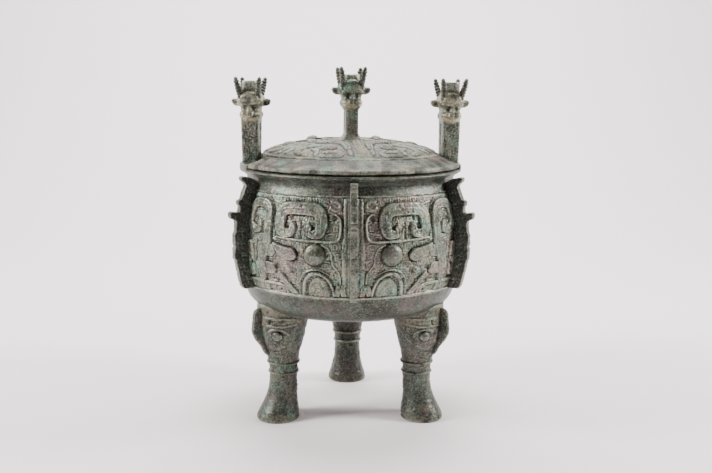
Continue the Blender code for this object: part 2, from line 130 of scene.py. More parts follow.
class DingBand(bpy.types.PropertyGroup):
    relief: bpy.props.FloatProperty(
        name="Relief", description="Height of the mask's raised strips above the ground",
        default=2.0 * MM, unit="LENGTH")
    eye_rise: bpy.props.FloatProperty(
        name="Eye Rise", description="Height of the mask's eyes", default=4.7 * MM, unit="LENGTH")
    spiral_pitch: bpy.props.FloatProperty(
        name="Spiral Pitch", description="Distance between the lines of the squared spirals",
        default=1.7 * MM, unit="LENGTH")
    spiral_depth: bpy.props.FloatProperty(
        name="Spiral Depth", description="Depth of the squared spirals", default=0.5 * MM, unit="LENGTH")
    corrosion: bpy.props.FloatProperty(
        name="Corrosion", description="Height of the pitting and swelling of the surface",
        default=0.32 * MM, unit="LENGTH")
    step: bpy.props.FloatProperty(
        name="Mesh Step", description="Distance between the mesh points of the carving",
        default=0.54 * MM, unit="LENGTH")


class DingHorn(bpy.types.PropertyGroup):
    foot: bpy.props.FloatProperty(
        name="Foot Radius", description="Radius of a horn at its foot", default=2.95 * MM, unit="LENGTH")
    tip: bpy.props.FloatProperty(
        name="Tip Radius", description="Radius of a horn at its tip", default=2.2 * MM, unit="LENGTH")
    ribs: bpy.props.IntProperty(name="Ribs", description="Number of ribs round a horn", default=7)
    rib_depth: bpy.props.FloatProperty(
        name="Rib Depth", description="Depth of the grooves between the ribs", default=0.95 * MM, unit="LENGTH")


class DingCasting(bpy.types.PropertyGroup):
    flange_thickness: bpy.props.FloatProperty(
        name="Flange Thickness", description="Thickness of the six flanges", default=5.6 * MM, unit="LENGTH")
    turning: bpy.props.IntProperty(
        name="Facets Round", description="Facets round the plain part of the bowl", default=240)
    grain: bpy.props.FloatProperty(
        name="Remesh Step", description="Mesh step of heads, posts and flanges", default=0.52 * MM, unit="LENGTH")
    ring_radius: bpy.props.FloatProperty(
        name="Ring Radius", description="Radius of the rings round the legs", default=0.95 * MM, unit="LENGTH")


class DingPatina(bpy.types.PropertyGroup):
    green: bpy.props.FloatVectorProperty(
        name="Green", description="Main grey-green of the patina", subtype="COLOR",
        size=4, min=0, max=1, default=(0.165, 0.200, 0.155, 1))
    dark: bpy.props.FloatVectorProperty(
        name="Dark", description="Dark green-brown between the patches", subtype="COLOR",
        size=4, min=0, max=1, default=(0.050, 0.052, 0.042, 1))
    # Pale is the rubbed wear on edges and tops, and also painted light on the flanges' faces turned outward.
    pale: bpy.props.FloatVectorProperty(
        name="Pale", description="Pale rubbed edges and tops", subtype="COLOR",
        size=4, min=0, max=1, default=(0.46, 0.48, 0.39, 1))
    turquoise: bpy.props.FloatVectorProperty(
        name="Turquoise", description="Blue-green crust", subtype="COLOR",
        size=4, min=0, max=1, default=(0.130, 0.270, 0.205, 1))
    mauve: bpy.props.FloatVectorProperty(
        name="Mauve", description="Purple-brown bare metal", subtype="COLOR",
        size=4, min=0, max=1, default=(0.200, 0.145, 0.140, 1))
    ochre: bpy.props.FloatVectorProperty(
        name="Ochre", description="Earth left on the surface", subtype="COLOR",
        size=4, min=0, max=1, default=(0.42, 0.36, 0.23, 1))
    # Recess is the dirt in the fine grooves and some dark patina, and also painted shade in deep hollows, under the
    # bowl, on the legs' inner sides, in the slots and in the eye sockets.
    recess: bpy.props.FloatVectorProperty(
        name="Recess", description="Dirt in the grooves", subtype="COLOR",
        size=4, min=0, max=1, default=(0.014, 0.014, 0.010, 1))


class DingStudio(bpy.types.PropertyGroup):
    lens: bpy.props.FloatProperty(
        name="Lens", description="Focal length of the camera in millimetres", default=45.62)
    floor: bpy.props.FloatVectorProperty(
        name="Floor", description="Colour of the floor and backdrop", subtype="COLOR",
        size=4, min=0, max=1, default=(0.84, 0.79, 0.80, 1))
    power: bpy.props.FloatProperty(name="Power", description="Strength of the studio lights", default=1.0)


# Meshes and noise


def mesh_object(name, verts, faces, edges=()):
    mesh = bpy.data.meshes.new(name)
    mesh.from_pydata(np.asarray(verts, float).tolist(), list(edges), faces)
    obj = bpy.data.objects.new(name, mesh)
    bpy.context.scene.collection.objects.link(obj)
    return obj


def points_of(obj):
    co = np.empty(len(obj.data.vertices) * 3)
    obj.data.vertices.foreach_get("co", co)
    return co.reshape(-1, 3)


def set_points(obj, co):
    obj.data.vertices.foreach_set("co", np.ascontiguousarray(co, float).ravel())
    obj.data.update()


def normals_of(obj):
    no = np.empty(len(obj.data.vertices) * 3, np.float32)
    obj.data.vertex_normals.foreach_get("vector", no)
    return no.reshape(-1, 3).astype(float)


def skin(rows, n):
    """Faces between neighbouring closed rows of n points."""
    return [
        (i * n + j, i * n + (j + 1) % n, (i + 1) * n + (j + 1) % n, (i + 1) * n + j)
        for i in range(rows - 1) for j in range(n)
    ]


def loft(rings):
    """Vertices and faces of a closed solid through rings of points."""
    n = len(rings[0])
    faces = skin(len(rings), n)
    faces.append(tuple(range(n - 1, -1, -1)))
    faces.append(tuple((len(rings) - 1) * n + j for j in range(n)))
    return np.array([p for ring in rings for p in ring], float), faces


def joined(solids):
    """Vertices and faces of several solids together."""
    verts = []
    faces = []
    for v, f in solids:
        shift = len(verts)
        verts += v.tolist()
        faces += [tuple(i + shift for i in face) for face in f]
    return np.array(verts), faces


def turn_outward(obj, split=False):
    """Turns the faces of a closed mesh outward, and splits them into triangles where asked."""
    bm = bmesh.new()
    bm.from_mesh(obj.data)
    if split:
        bmesh.ops.triangulate(bm, faces=bm.faces)
    bmesh.ops.recalc_face_normals(bm, faces=bm.faces)
    bm.to_mesh(obj.data)
    bm.free()


def keep_result(obj, mod):
    """Keeps what a modifier makes of the object as its plain mesh, under the old mesh's name."""
    bpy.context.view_layer.update()
    made = bpy.data.meshes.new_from_object(obj.evaluated_get(bpy.context.evaluated_depsgraph_get()))
    obj.modifiers.remove(mod)
    old, obj.data = obj.data, made
    name = old.name
    bpy.data.meshes.remove(old)
    made.name = name


def finish_mesh(obj, smooth_angle=50.0):
    """Joins doubles, turns normals outward and shades the mesh smooth."""
    bm = bmesh.new()
    bm.from_mesh(obj.data)
    bmesh.ops.remove_doubles(bm, verts=bm.verts, dist=2e-6)
    bmesh.ops.dissolve_degenerate(bm, dist=1e-6, edges=bm.edges)
    wide = [f for f in bm.faces if len(f.verts) > 4]
    bmesh.ops.triangulate(bm, faces=wide)
    bmesh.ops.recalc_face_normals(bm, faces=bm.faces)
    bm.to_mesh(obj.data)
    bm.free()
    obj.data.shade_smooth()
    obj.data.set_sharp_from_angle(angle=math.radians(smooth_angle))


def noise(points, seed):
    """Smooth noise from 0 to 1 at points given in cells."""
    cell = np.floor(points).astype(np.int64)
    f = points - cell
    f = f * f * (3 - 2 * f)
    total = np.zeros(len(points))
    for dx in (0, 1):
        for dy in (0, 1):
            for dz in (0, 1):
                h = (cell[:, 0] + dx) * 374761393 + (cell[:, 1] + dy) * 668265263
                h = h + (cell[:, 2] + dz) * 1440662683 + seed * 69069
                h = (h ^ (h >> 13)) * 1274126177
                h = (h ^ (h >> 16)) & 0xFFFF
                w = (f[:, 0] if dx else 1 - f[:, 0]) * (f[:, 1] if dy else 1 - f[:, 1])
                total += w * (f[:, 2] if dz else 1 - f[:, 2]) * h / 65535
    return total


def rough(points, size, seed, octaves=3):
    """Layered noise from -1 to 1 whose largest lumps are about size wide."""
    total = np.zeros(len(points))
    weight = 1.0
    full = 0.0
    for k in range(octaves):
        total += weight * (noise(points / size * 2**k + 17.3 * k, seed + k) * 2 - 1)
        full += weight
        weight *= 0.55
    return total / full


def ease(x):
    x = np.clip(x, 0, 1)
    return x * x * (3 - 2 * x)


def corrode(points, amount, seed):
    """Swellings and pits of the corroded surface, in the units of points."""
    swell = 0.45 * rough(points, 9.0, seed) + 0.35 * rough(points, 2.6, seed + 5, 2)
    pits = ease((noise(points / 2.1, seed + 11) - 0.72) / 0.14)
    crust = ease((noise(points / 6.5, seed + 21) - 0.68) / 0.12) * (0.5 + 0.5 * rough(points, 1.3, seed + 3, 1))
    return amount * (swell - 1.1 * pits + 0.9 * crust)


def corroded(obj, amount, seed):
    """Pits and swells a mesh along its normals by an amount in millimetres, one value or one for each point."""
    co = points_of(obj) / MM
    set_points(obj, (co + normals_of(obj) * corrode(co, amount, seed)[:, None]) * MM)


def catmull(path, per=9):
    """A smooth line through the points of a path, each with its half width."""
    p = np.array(path, float)
    q = np.vstack([2 * p[0] - p[1], p, 2 * p[-1] - p[-2]])
    t = np.linspace(0, 1, per, endpoint=False)[:, None]
    out = []
    for i in range(1, len(q) - 2):
        a, b, c, d = q[i - 1], q[i], q[i + 1], q[i + 2]
        out.append(0.5 * (2 * b + (c - a) * t + (2 * a - 5 * b + 4 * c - d) * t**2 + (3 * b - a - 3 * c + d) * t**3))
    return np.vstack(out + [p[-1:]])


def within(line, x, y):
    """How far each point lies inside a stroke: its half width less the distance from its line."""
    best = np.full(x.shape, -99.0)
    reach = line[:, 2].max() + 2.5
    near = (x > line[:, 0].min() - reach) & (x < line[:, 0].max() + reach)
    near &= (y > line[:, 1].min() - reach) & (y < line[:, 1].max() + reach)
    px, py = x[near], y[near]
    got = np.full(px.shape, -99.0)
    for a, b in zip(line, line[1:]):
        d = b[:2] - a[:2]
        t = np.clip(((px - a[0]) * d[0] + (py - a[1]) * d[1]) / (d @ d + 1e-9), 0, 1)
        away = np.hypot(px - a[0] - t * d[0], py - a[1] - t * d[1])
        got = np.maximum(got, a[2] + (b[2] - a[2]) * t - away)
    best[near] = got
    return best


def spiral_path(x, y, radius, turns, start, hand, half=0.32, square=0.35):
    """A squarish spiral line that closes in on its centre."""
    rows = []
    for k in range(int(20 * turns) + 1):
        t = k / (20 * turns)
        a = start + hand * t * turns * 2 * math.pi
        r = radius * (1 - 0.86 * t)
        r *= 1 + square * (abs(math.sin(2 * a)) ** 2) * 0.35
        rows.append((x + r * math.cos(a), y + r * math.sin(a), half))
    return np.array(rows)


def leiwen(x, y, pitch, turns=2.0):
    """Squared spirals in staggered cells: 0 on the lines, 1 in the grooves between them."""
    cell = pitch * turns * 2
    row = np.floor(y / cell)
    across = x / cell + 0.5 * np.mod(row, 2)
    col = np.floor(across)
    hand = np.where(np.mod(row + col, 2) == 0, 1.0, -1.0)
    u = (across - col - 0.5) * 2
    v = (y / cell - row - 0.5) * 2
    m = np.maximum(np.abs(u), np.abs(v)) * 0.88 + 0.12 * np.hypot(u, v)
    wave = np.cos(2 * math.pi * (m * turns - hand * np.arctan2(v, u) / (2 * math.pi)))
    return ease(0.5 + 0.75 * wave)


def wear(obj, reach=0.42, rounds=6, dark_patina_and_shade=0.0, rub_and_light=0.0, soil=0.0, level=0.0):
    """Stores what the finish reads at each point, besides the shares given of darkening (dark patina in places,
    painted shade in others), of pale (rubbed wear in places, painted light in others) and of soil.

    ridge goes from -1 in a fine groove to 1 on an edge, hollow is 1 deep between raised forms, where it paints in
    shade, and soil is the share of earth left on the surface. level is how proud a thin form stands everywhere, in
    millimetres.
    """
    mesh = obj.data
    n = len(mesh.vertices)
    co = points_of(obj) / MM
    ends = np.empty(len(mesh.edges) * 2, np.int32)
    mesh.edges.foreach_get("vertices", ends)
    a, b = ends[0::2], ends[1::2]
    count = np.maximum(np.bincount(a, minlength=n) + np.bincount(b, minlength=n), 1)[:, None]
    no = normals_of(obj)
    soft = co.copy()
    proud = []
    for k in range(rounds * 6):
        total = np.stack([np.bincount(a, soft[b, i], n) + np.bincount(b, soft[a, i], n) for i in range(3)], 1)
        soft = 0.4 * soft + 0.6 * total / count
        if k + 1 in (rounds, rounds * 6):
            proud.append(((co - soft) * no).sum(1))
    for name, value, low in (
        # ridge also takes the pale share given, rubbed wear or painted light; hollow paints shade into deep concave
        # places and also takes the darkening share given.
        ("ridge", np.maximum((proud[0] - level) / reach, rub_and_light), -1),
        ("hollow", np.maximum(-proud[1] / (2.2 * reach), dark_patina_and_shade), 0),
        ("soil", np.zeros(n) + soil, 0),
    ):
        mesh.attributes.new(name, "FLOAT", "POINT").data.foreach_set(
            "value", np.clip(value, low, 1).astype(np.float32))


# Node trees


def new_tree(kind, name, inputs, outputs):
    """A node tree with named sockets, each given as type, name and default."""
    tree = bpy.data.node_groups.new(name, kind)
    for way, sockets in (("INPUT", inputs), ("OUTPUT", outputs)):
        for socket, label, value in sockets:
            item = tree.interface.new_socket(name=label, in_out=way, socket_type="NodeSocket" + socket)
            if value is not None:
                item.default_value = value
    return tree, tree.nodes.new("NodeGroupInput"), tree.nodes.new("NodeGroupOutput")


def add(tree, kind, settings=None, **sockets):
    """Adds a node; sockets are named s0, s1 and so on by place, and hold a value or another node's socket."""
    made = tree.nodes.new(kind)
    for key, value in (settings or {}).items():
        setattr(made, key, value)
    for key, value in sockets.items():
        socket = made.inputs[int(key[1:])]
        if isinstance(value, bpy.types.NodeSocket):
            tree.links.new(value, socket)
        else:
            socket.default_value = value
    return made


def math_node(tree, operation, *values):
    kind = "ShaderNodeMath"
    return add(tree, kind, {"operation": operation}, **{f"s{i}": v for i, v in enumerate(values)}).outputs[0]


def run_tree(obj, tree, values):
    """Runs a geometry tree on an object with named inputs and keeps the result as a plain mesh."""
    mod = obj.modifiers.new("Shape", "NODES")
    mod.node_group = tree
    for item in tree.interface.items_tree:
        if item.in_out == "INPUT" and item.name in values:
            mod[item.identifier] = values[item.name]
    keep_result(obj, mod)


def ended(tree, geometry, group_in, group_out):
    """Realizes the geometry, sets the material of the input named Material and ends the tree."""
    real = add(tree, "GeometryNodeRealizeInstances", s0=geometry)
    painted = add(tree, "GeometryNodeSetMaterial", s0=real.outputs[0], s2=group_in.outputs["Material"])
    tree.links.new(painted.outputs[0], group_out.inputs[0])


def turning_tree():
    """Turns the profile drawn by the object's own edges round the vertical axis and closes its poles."""
    tree, gin, gout = new_tree(
        "GeometryNodeTree", "Turning",
        [("Geometry", "Geometry", None), ("Int", "Facets", 240), ("Float", "Path Radius", 0.01),
         ("Material", "Material", None)],
        [("Geometry", "Geometry", None)],
    )
    path = add(tree, "GeometryNodeCurvePrimitiveCircle", s0=gin.outputs["Facets"], s4=gin.outputs["Path Radius"])
    profile = add(tree, "GeometryNodeMeshToCurve", s0=gin.outputs["Geometry"])
    skin = add(tree, "GeometryNodeCurveToMesh", s0=path.outputs[0], s1=profile.outputs[0])
    closed = add(tree, "GeometryNodeMergeByDistance", s0=skin.outputs[0], s2=2e-5)
    ended(tree, closed.outputs[0], gin, gout)
    return tree


def repeat_tree():
    """Repeats the object's mesh in equal turns about the vertical axis."""
    tree, gin, gout = new_tree(
        "GeometryNodeTree", "Ring Repeat",
        [("Geometry", "Geometry", None), ("Int", "Count", 6), ("Material", "Material", None)],
        [("Geometry", "Geometry", None)],
    )
    spots = add(tree, "GeometryNodePoints", s0=gin.outputs["Count"])
    index = add(tree, "GeometryNodeInputIndex")
    share = math_node(tree, "DIVIDE", index.outputs[0], gin.outputs["Count"])
    angle = add(tree, "ShaderNodeCombineXYZ", s2=math_node(tree, "MULTIPLY", share, 2 * math.pi))
    turn = add(tree, "FunctionNodeEulerToRotation", s0=angle.outputs[0])
    placed = add(tree, "GeometryNodeInstanceOnPoints", s0=spots.outputs[0], s2=gin.outputs["Geometry"],
                 s5=turn.outputs[0])
    ended(tree, placed.outputs[0], gin, gout)
    return tree


def horn_tree():
    """Sweeps a ribbed, tapering horn along each line of the object's mesh."""
    tree, gin, gout = new_tree(
        "GeometryNodeTree", "Ribbed Horn",
        [("Geometry", "Geometry", None), ("Float", "Foot Radius", 0.0027), ("Float", "Tip Radius", 0.0015),
         ("Int", "Ribs", 6), ("Float", "Rib Depth", 0.0006), ("Int", "Steps", 56), ("Int", "Facets", 24),
         ("Material", "Material", None)],
        [("Geometry", "Geometry", None)],
    )
    line = add(tree, "GeometryNodeMeshToCurve", s0=gin.outputs["Geometry"])
    fine = add(tree, "GeometryNodeResampleCurve", s0=line.outputs[0], s2=gin.outputs["Steps"])
    along = add(tree, "GeometryNodeSplineParameter").outputs[0]
    fall = math_node(tree, "MULTIPLY", along, math_node(
        tree, "SUBTRACT", gin.outputs["Tip Radius"], gin.outputs["Foot Radius"]))
    cone = math_node(tree, "ADD", gin.outputs["Foot Radius"], fall)
    phase = math_node(tree, "MULTIPLY", math_node(tree, "MULTIPLY", along, gin.outputs["Ribs"]), math.pi)
    wave = math_node(tree, "ABSOLUTE", math_node(tree, "SINE", phase))
    groove = math_node(tree, "SUBTRACT", 1.0, math_node(tree, "POWER", wave, 0.75))
    ribbed = math_node(tree, "SUBTRACT", cone, math_node(tree, "MULTIPLY", groove, gin.outputs["Rib Depth"]))
    past = math_node(tree, "MAXIMUM", math_node(tree, "SUBTRACT", along, 0.76), 0.0)
    blunt = math_node(tree, "POWER", math_node(tree, "DIVIDE", past, 0.24), 3.0)
    end = math_node(tree, "SUBTRACT", 1.0, math_node(tree, "MULTIPLY", blunt, 0.8))
    ring = add(tree, "GeometryNodeCurvePrimitiveCircle", s0=gin.outputs["Facets"], s4=1.0)
    skin = add(tree, "GeometryNodeCurveToMesh", s0=fine.outputs[0], s1=ring.outputs[0],
               s2=math_node(tree, "MULTIPLY", ribbed, end), s3=True)
    ended(tree, skin.outputs[0], gin, gout)
    return tree


def ring_tree():
    """Sweeps a round bead along each closed line of the object's mesh."""
    tree, gin, gout = new_tree(
        "GeometryNodeTree", "Bead Ring",
        [("Geometry", "Geometry", None), ("Float", "Ring Radius", 0.0011), ("Int", "Facets", 12),
         ("Material", "Material", None)],
        [("Geometry", "Geometry", None)],
    )
    line = add(tree, "GeometryNodeMeshToCurve", s0=gin.outputs["Geometry"])
    ring = add(tree, "GeometryNodeCurvePrimitiveCircle", s0=gin.outputs["Facets"], s4=gin.outputs["Ring Radius"])
    skin = add(tree, "GeometryNodeCurveToMesh", s0=line.outputs[0], s1=ring.outputs[0])
    ended(tree, skin.outputs[0], gin, gout)
    return tree


# Finish


def cloud(tree, position, scale, detail, shift):
    moved = add(tree, "ShaderNodeVectorMath", {"operation": "ADD"}, s0=position, s1=(shift, shift * 0.7, -shift))
    return add(tree, "ShaderNodeTexNoise", s0=moved.outputs[0], s2=scale, s3=detail, s4=0.6).outputs[0]


def window(tree, value, low, high):
    """0 below low and 1 above high, smooth between."""
    return add(tree, "ShaderNodeMapRange", {"interpolation_type": "SMOOTHSTEP"}, s0=value, s1=low, s2=high).outputs[0]


def tint(tree, share, under, over):
    return add(tree, "ShaderNodeMix", {"data_type": "RGBA"}, s0=share, s6=under, s7=over).outputs[2]


def patina_tree():
    """Grey-green patina in patches, with pale rubbed edges and painted light where a pale share is given, earth in
    fine lines, dirt in the fine grooves and painted shade in the hollows.
    """
    colours = ("Green", "Dark", "Pale", "Turquoise", "Mauve", "Ochre", "Recess")
    tree, gin, gout = new_tree(
        "ShaderNodeTree", "Patina",
        [("Vector", "Position", None), ("Float", "Ridge", 0.0), ("Float", "Hollow", 0.0), ("Float", "Soil", 0.0),
         ("Float", "Seed", 0.0), ("Float", "Warmth", 0.7), ("Float", "Blue Crust", 0.7), ("Float", "Earth", 0.5),
         ("Float", "Rubbing", 0.5)]
        + [("Color", name, None) for name in colours],
        [("Color", "Color", None), ("Float", "Roughness", None), ("Float", "Height", None)],
    )

    def times(a, b):
        return math_node(tree, "MULTIPLY", a, b)

    offset = add(tree, "ShaderNodeCombineXYZ", s0=gin.outputs["Seed"], s1=gin.outputs["Seed"])
    where = add(tree, "ShaderNodeVectorMath", {"operation": "ADD"},
                s0=gin.outputs["Position"], s1=offset.outputs[0]).outputs[0]
    broad = cloud(tree, where, 45.0, 4.0, 0.31)
    middle = cloud(tree, where, 170.0, 4.0, 1.17)
    fine = cloud(tree, where, 720.0, 3.0, 0.77)
    warm = cloud(tree, where, 38.0, 5.0, 1.9)
    crust = cloud(tree, where, 60.0, 5.0, 2.7)
    earth = cloud(tree, where, 85.0, 5.0, 3.3)
    mixed = math_node(tree, "ADD", times(broad, 0.3), math_node(tree, "ADD", times(middle, 0.34), times(fine, 0.36)))
    groove = times(gin.outputs["Ridge"], -1.0)
    colour = tint(tree, window(tree, mixed, 0.42, 0.59), gin.outputs["Dark"], gin.outputs["Green"])
    peppered = math_node(tree, "ADD", 0.45, times(window(tree, fine, 0.38, 0.60), 0.55))
    share = times(window(tree, warm, 0.47, 0.62), times(gin.outputs["Warmth"], peppered))
    colour = tint(tree, share, colour, gin.outputs["Mauve"])
    blue = times(window(tree, crust, 0.53, 0.65), times(gin.outputs["Blue Crust"], window(tree, fine, 0.34, 0.58)))
    colour = tint(tree, blue, colour, gin.outputs["Turquoise"])
    lines = math_node(tree, "ADD", 0.35, times(window(tree, groove, 0.0, 0.4), 0.65))
    soil = math_node(tree, "MAXIMUM", times(window(tree, earth, 0.50, 0.64), times(gin.outputs["Earth"], lines)),
                     times(gin.outputs["Soil"], window(tree, middle, 0.34, 0.56)))
    colour = tint(tree, times(soil, 0.85), colour, gin.outputs["Ochre"])
    colour = tint(tree, times(window(tree, fine, 0.52, 0.68), 0.32), colour, gin.outputs["Pale"])
    # Pale on ridges: rubbed wear, and painted light where a pale share is given, as on the flanges' outward faces.
    bright = times(window(tree, gin.outputs["Ridge"], 0.12, 0.85), times(
        gin.outputs["Rubbing"], window(tree, mixed, 0.36, 0.58)))
    colour = tint(tree, bright, colour, gin.outputs["Pale"])
    # Towards Recess: dirt in the fine grooves, and painted shade in the hollows.
    low = math_node(tree, "MAXIMUM", times(window(tree, groove, 0.16, 0.85), 0.66),
                    times(window(tree, gin.outputs["Hollow"], 0.10, 0.80), 0.82))
    colour = tint(tree, low, colour, gin.outputs["Recess"])
    colour = tint(tree, times(window(tree, middle, 0.56, 0.66), 0.5), colour, gin.outputs["Dark"])
    tree.links.new(colour, gout.inputs["Color"])
    dull = math_node(tree, "ADD", 0.27, times(mixed, 0.32))
    dull = math_node(tree, "ADD", dull, times(math_node(tree, "ADD", soil, blue), 0.12))
    tree.links.new(dull, gout.inputs["Roughness"])
    height = math_node(tree, "ADD", times(fine, 0.5), times(middle, 0.5))
    tree.links.new(height, gout.inputs["Height"])
    return tree


def bronze(name, patina, seed, warmth=0.7, blue=0.6, earth=0.5, rubbing=0.5, shade=1.0, metal=0.5):
    """A bronze finish whose patches fall differently for each seed; shade darkens or lightens its colours, both for a
    part's own tone and to paint in the light or shade that part gets.
    """
    look = bpy.context.scene.ding_patina
    mat = bpy.data.materials.new(name)
    mat.use_nodes = True
    tree = mat.node_tree
    shader = tree.nodes["Principled BSDF"]
    place = add(tree, "ShaderNodeTexCoord")
    group = add(tree, "ShaderNodeGroup", {"node_tree": patina})
    tree.links.new(place.outputs["Object"], group.inputs["Position"])
    for label, attribute in (("Ridge", "ridge"), ("Hollow", "hollow"), ("Soil", "soil")):
        stored = add(tree, "ShaderNodeAttribute", {"attribute_name": attribute})
        tree.links.new(stored.outputs["Fac"], group.inputs[label])
    for label, value in (
        ("Seed", seed), ("Warmth", warmth), ("Blue Crust", blue), ("Earth", earth), ("Rubbing", rubbing),
    ):
        group.inputs[label].default_value = value
    for label in ("Green", "Dark", "Pale", "Turquoise", "Mauve", "Ochre", "Recess"):
        red, green, blue_part, _ = getattr(look, label.lower())
        light = shade if label != "Pale" else math.sqrt(shade)
        group.inputs[label].default_value = (red * light, green * light, blue_part * light, 1)
    tree.links.new(group.outputs["Color"], shader.inputs["Base Color"])
    tree.links.new(group.outputs["Roughness"], shader.inputs["Roughness"])
    shader.inputs["Metallic"].default_value = metal
    shader.inputs["Specular IOR Level"].default_value = metal
    bump = add(tree, "ShaderNodeBump", s0=0.6, s1=0.0004, s3=group.outputs["Height"])
    tree.links.new(bump.outputs[0], shader.inputs["Normal"])
    return mat


def hand_over(obj, material, node):
    """Gives a finished piece its material and body, and hides the imported part of that node."""
    obj.data.materials.clear()
    obj.data.materials.append(material)
    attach(obj, "root")
    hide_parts(node)


def group_of(name, make):
    """The node tree of that name, made the first time it is asked for."""
    return bpy.data.node_groups.get(name) or make()


def finish_of(name, seed, **amounts):
    return bpy.data.materials.get(name) or bronze(name, group_of("Patina", patina_tree), seed, **amounts)


# Bowl and band


def bowl_lines():
    """The bowl's profile with smooth long runs and points close enough for its surface to swell a little."""
    outer = catmull([(r, z, 0) for r, z in BOWL_OUT[:11]], 4)[:, :2].tolist()
    outer += [list(p) for p in BOWL_OUT[11:14]]
    outer += catmull([(r, z, 0) for r, z in BOWL_OUT[13:18]], 4)[1:, :2].tolist()
    outer += catmull([(r, z, 0) for r, z in BOWL_OUT[18:]], 2)[:, :2].tolist()
    inner = catmull([(r, z, 0) for r, z in BOWL_IN], 3)[:, :2].tolist()
    lines = np.array(outer + inner)
    lines[0, 0] = lines[-1, 0] = 0.0
    return lines


def build_bowl():
    cast = bpy.context.scene.ding_casting
    path = 10.0
    lines = bowl_lines()
    verts = np.stack([lines[:, 0] - path, -lines[:, 1], np.zeros(len(lines))], 1) * MM
    obj = mesh_object("bowl", verts, [], [(i, i + 1) for i in range(len(verts) - 1)])
    # The plain bowl's finish is darker than the band's: painted shade on the underside, besides its own tone.
    mat = finish_of("bronze_plain", 0.0, warmth=0.8, blue=0.5, earth=0.35, rubbing=0.5, shade=0.72)
    run_tree(obj, group_of("Turning", turning_tree), {
        "Facets": cast.turning, "Path Radius": path * MM, "Material": mat})
    finish_mesh(obj)
    calm = ease((np.abs(points_of(obj)[:, 2] / MM - 149) - 34) / 4) * 0.75 + 0.25
    corroded(obj, 0.30 * calm, 3)
    # Painted shade: the bowl is darkened below a height of 112 mm, on its underside.
    low = ease((112 - points_of(obj)[:, 2] / MM) / 3)
    wear(obj, 0.35, 2, dark_patina_and_shade=0.42 * low)
    hand_over(obj, mat, "vessel")
    return obj


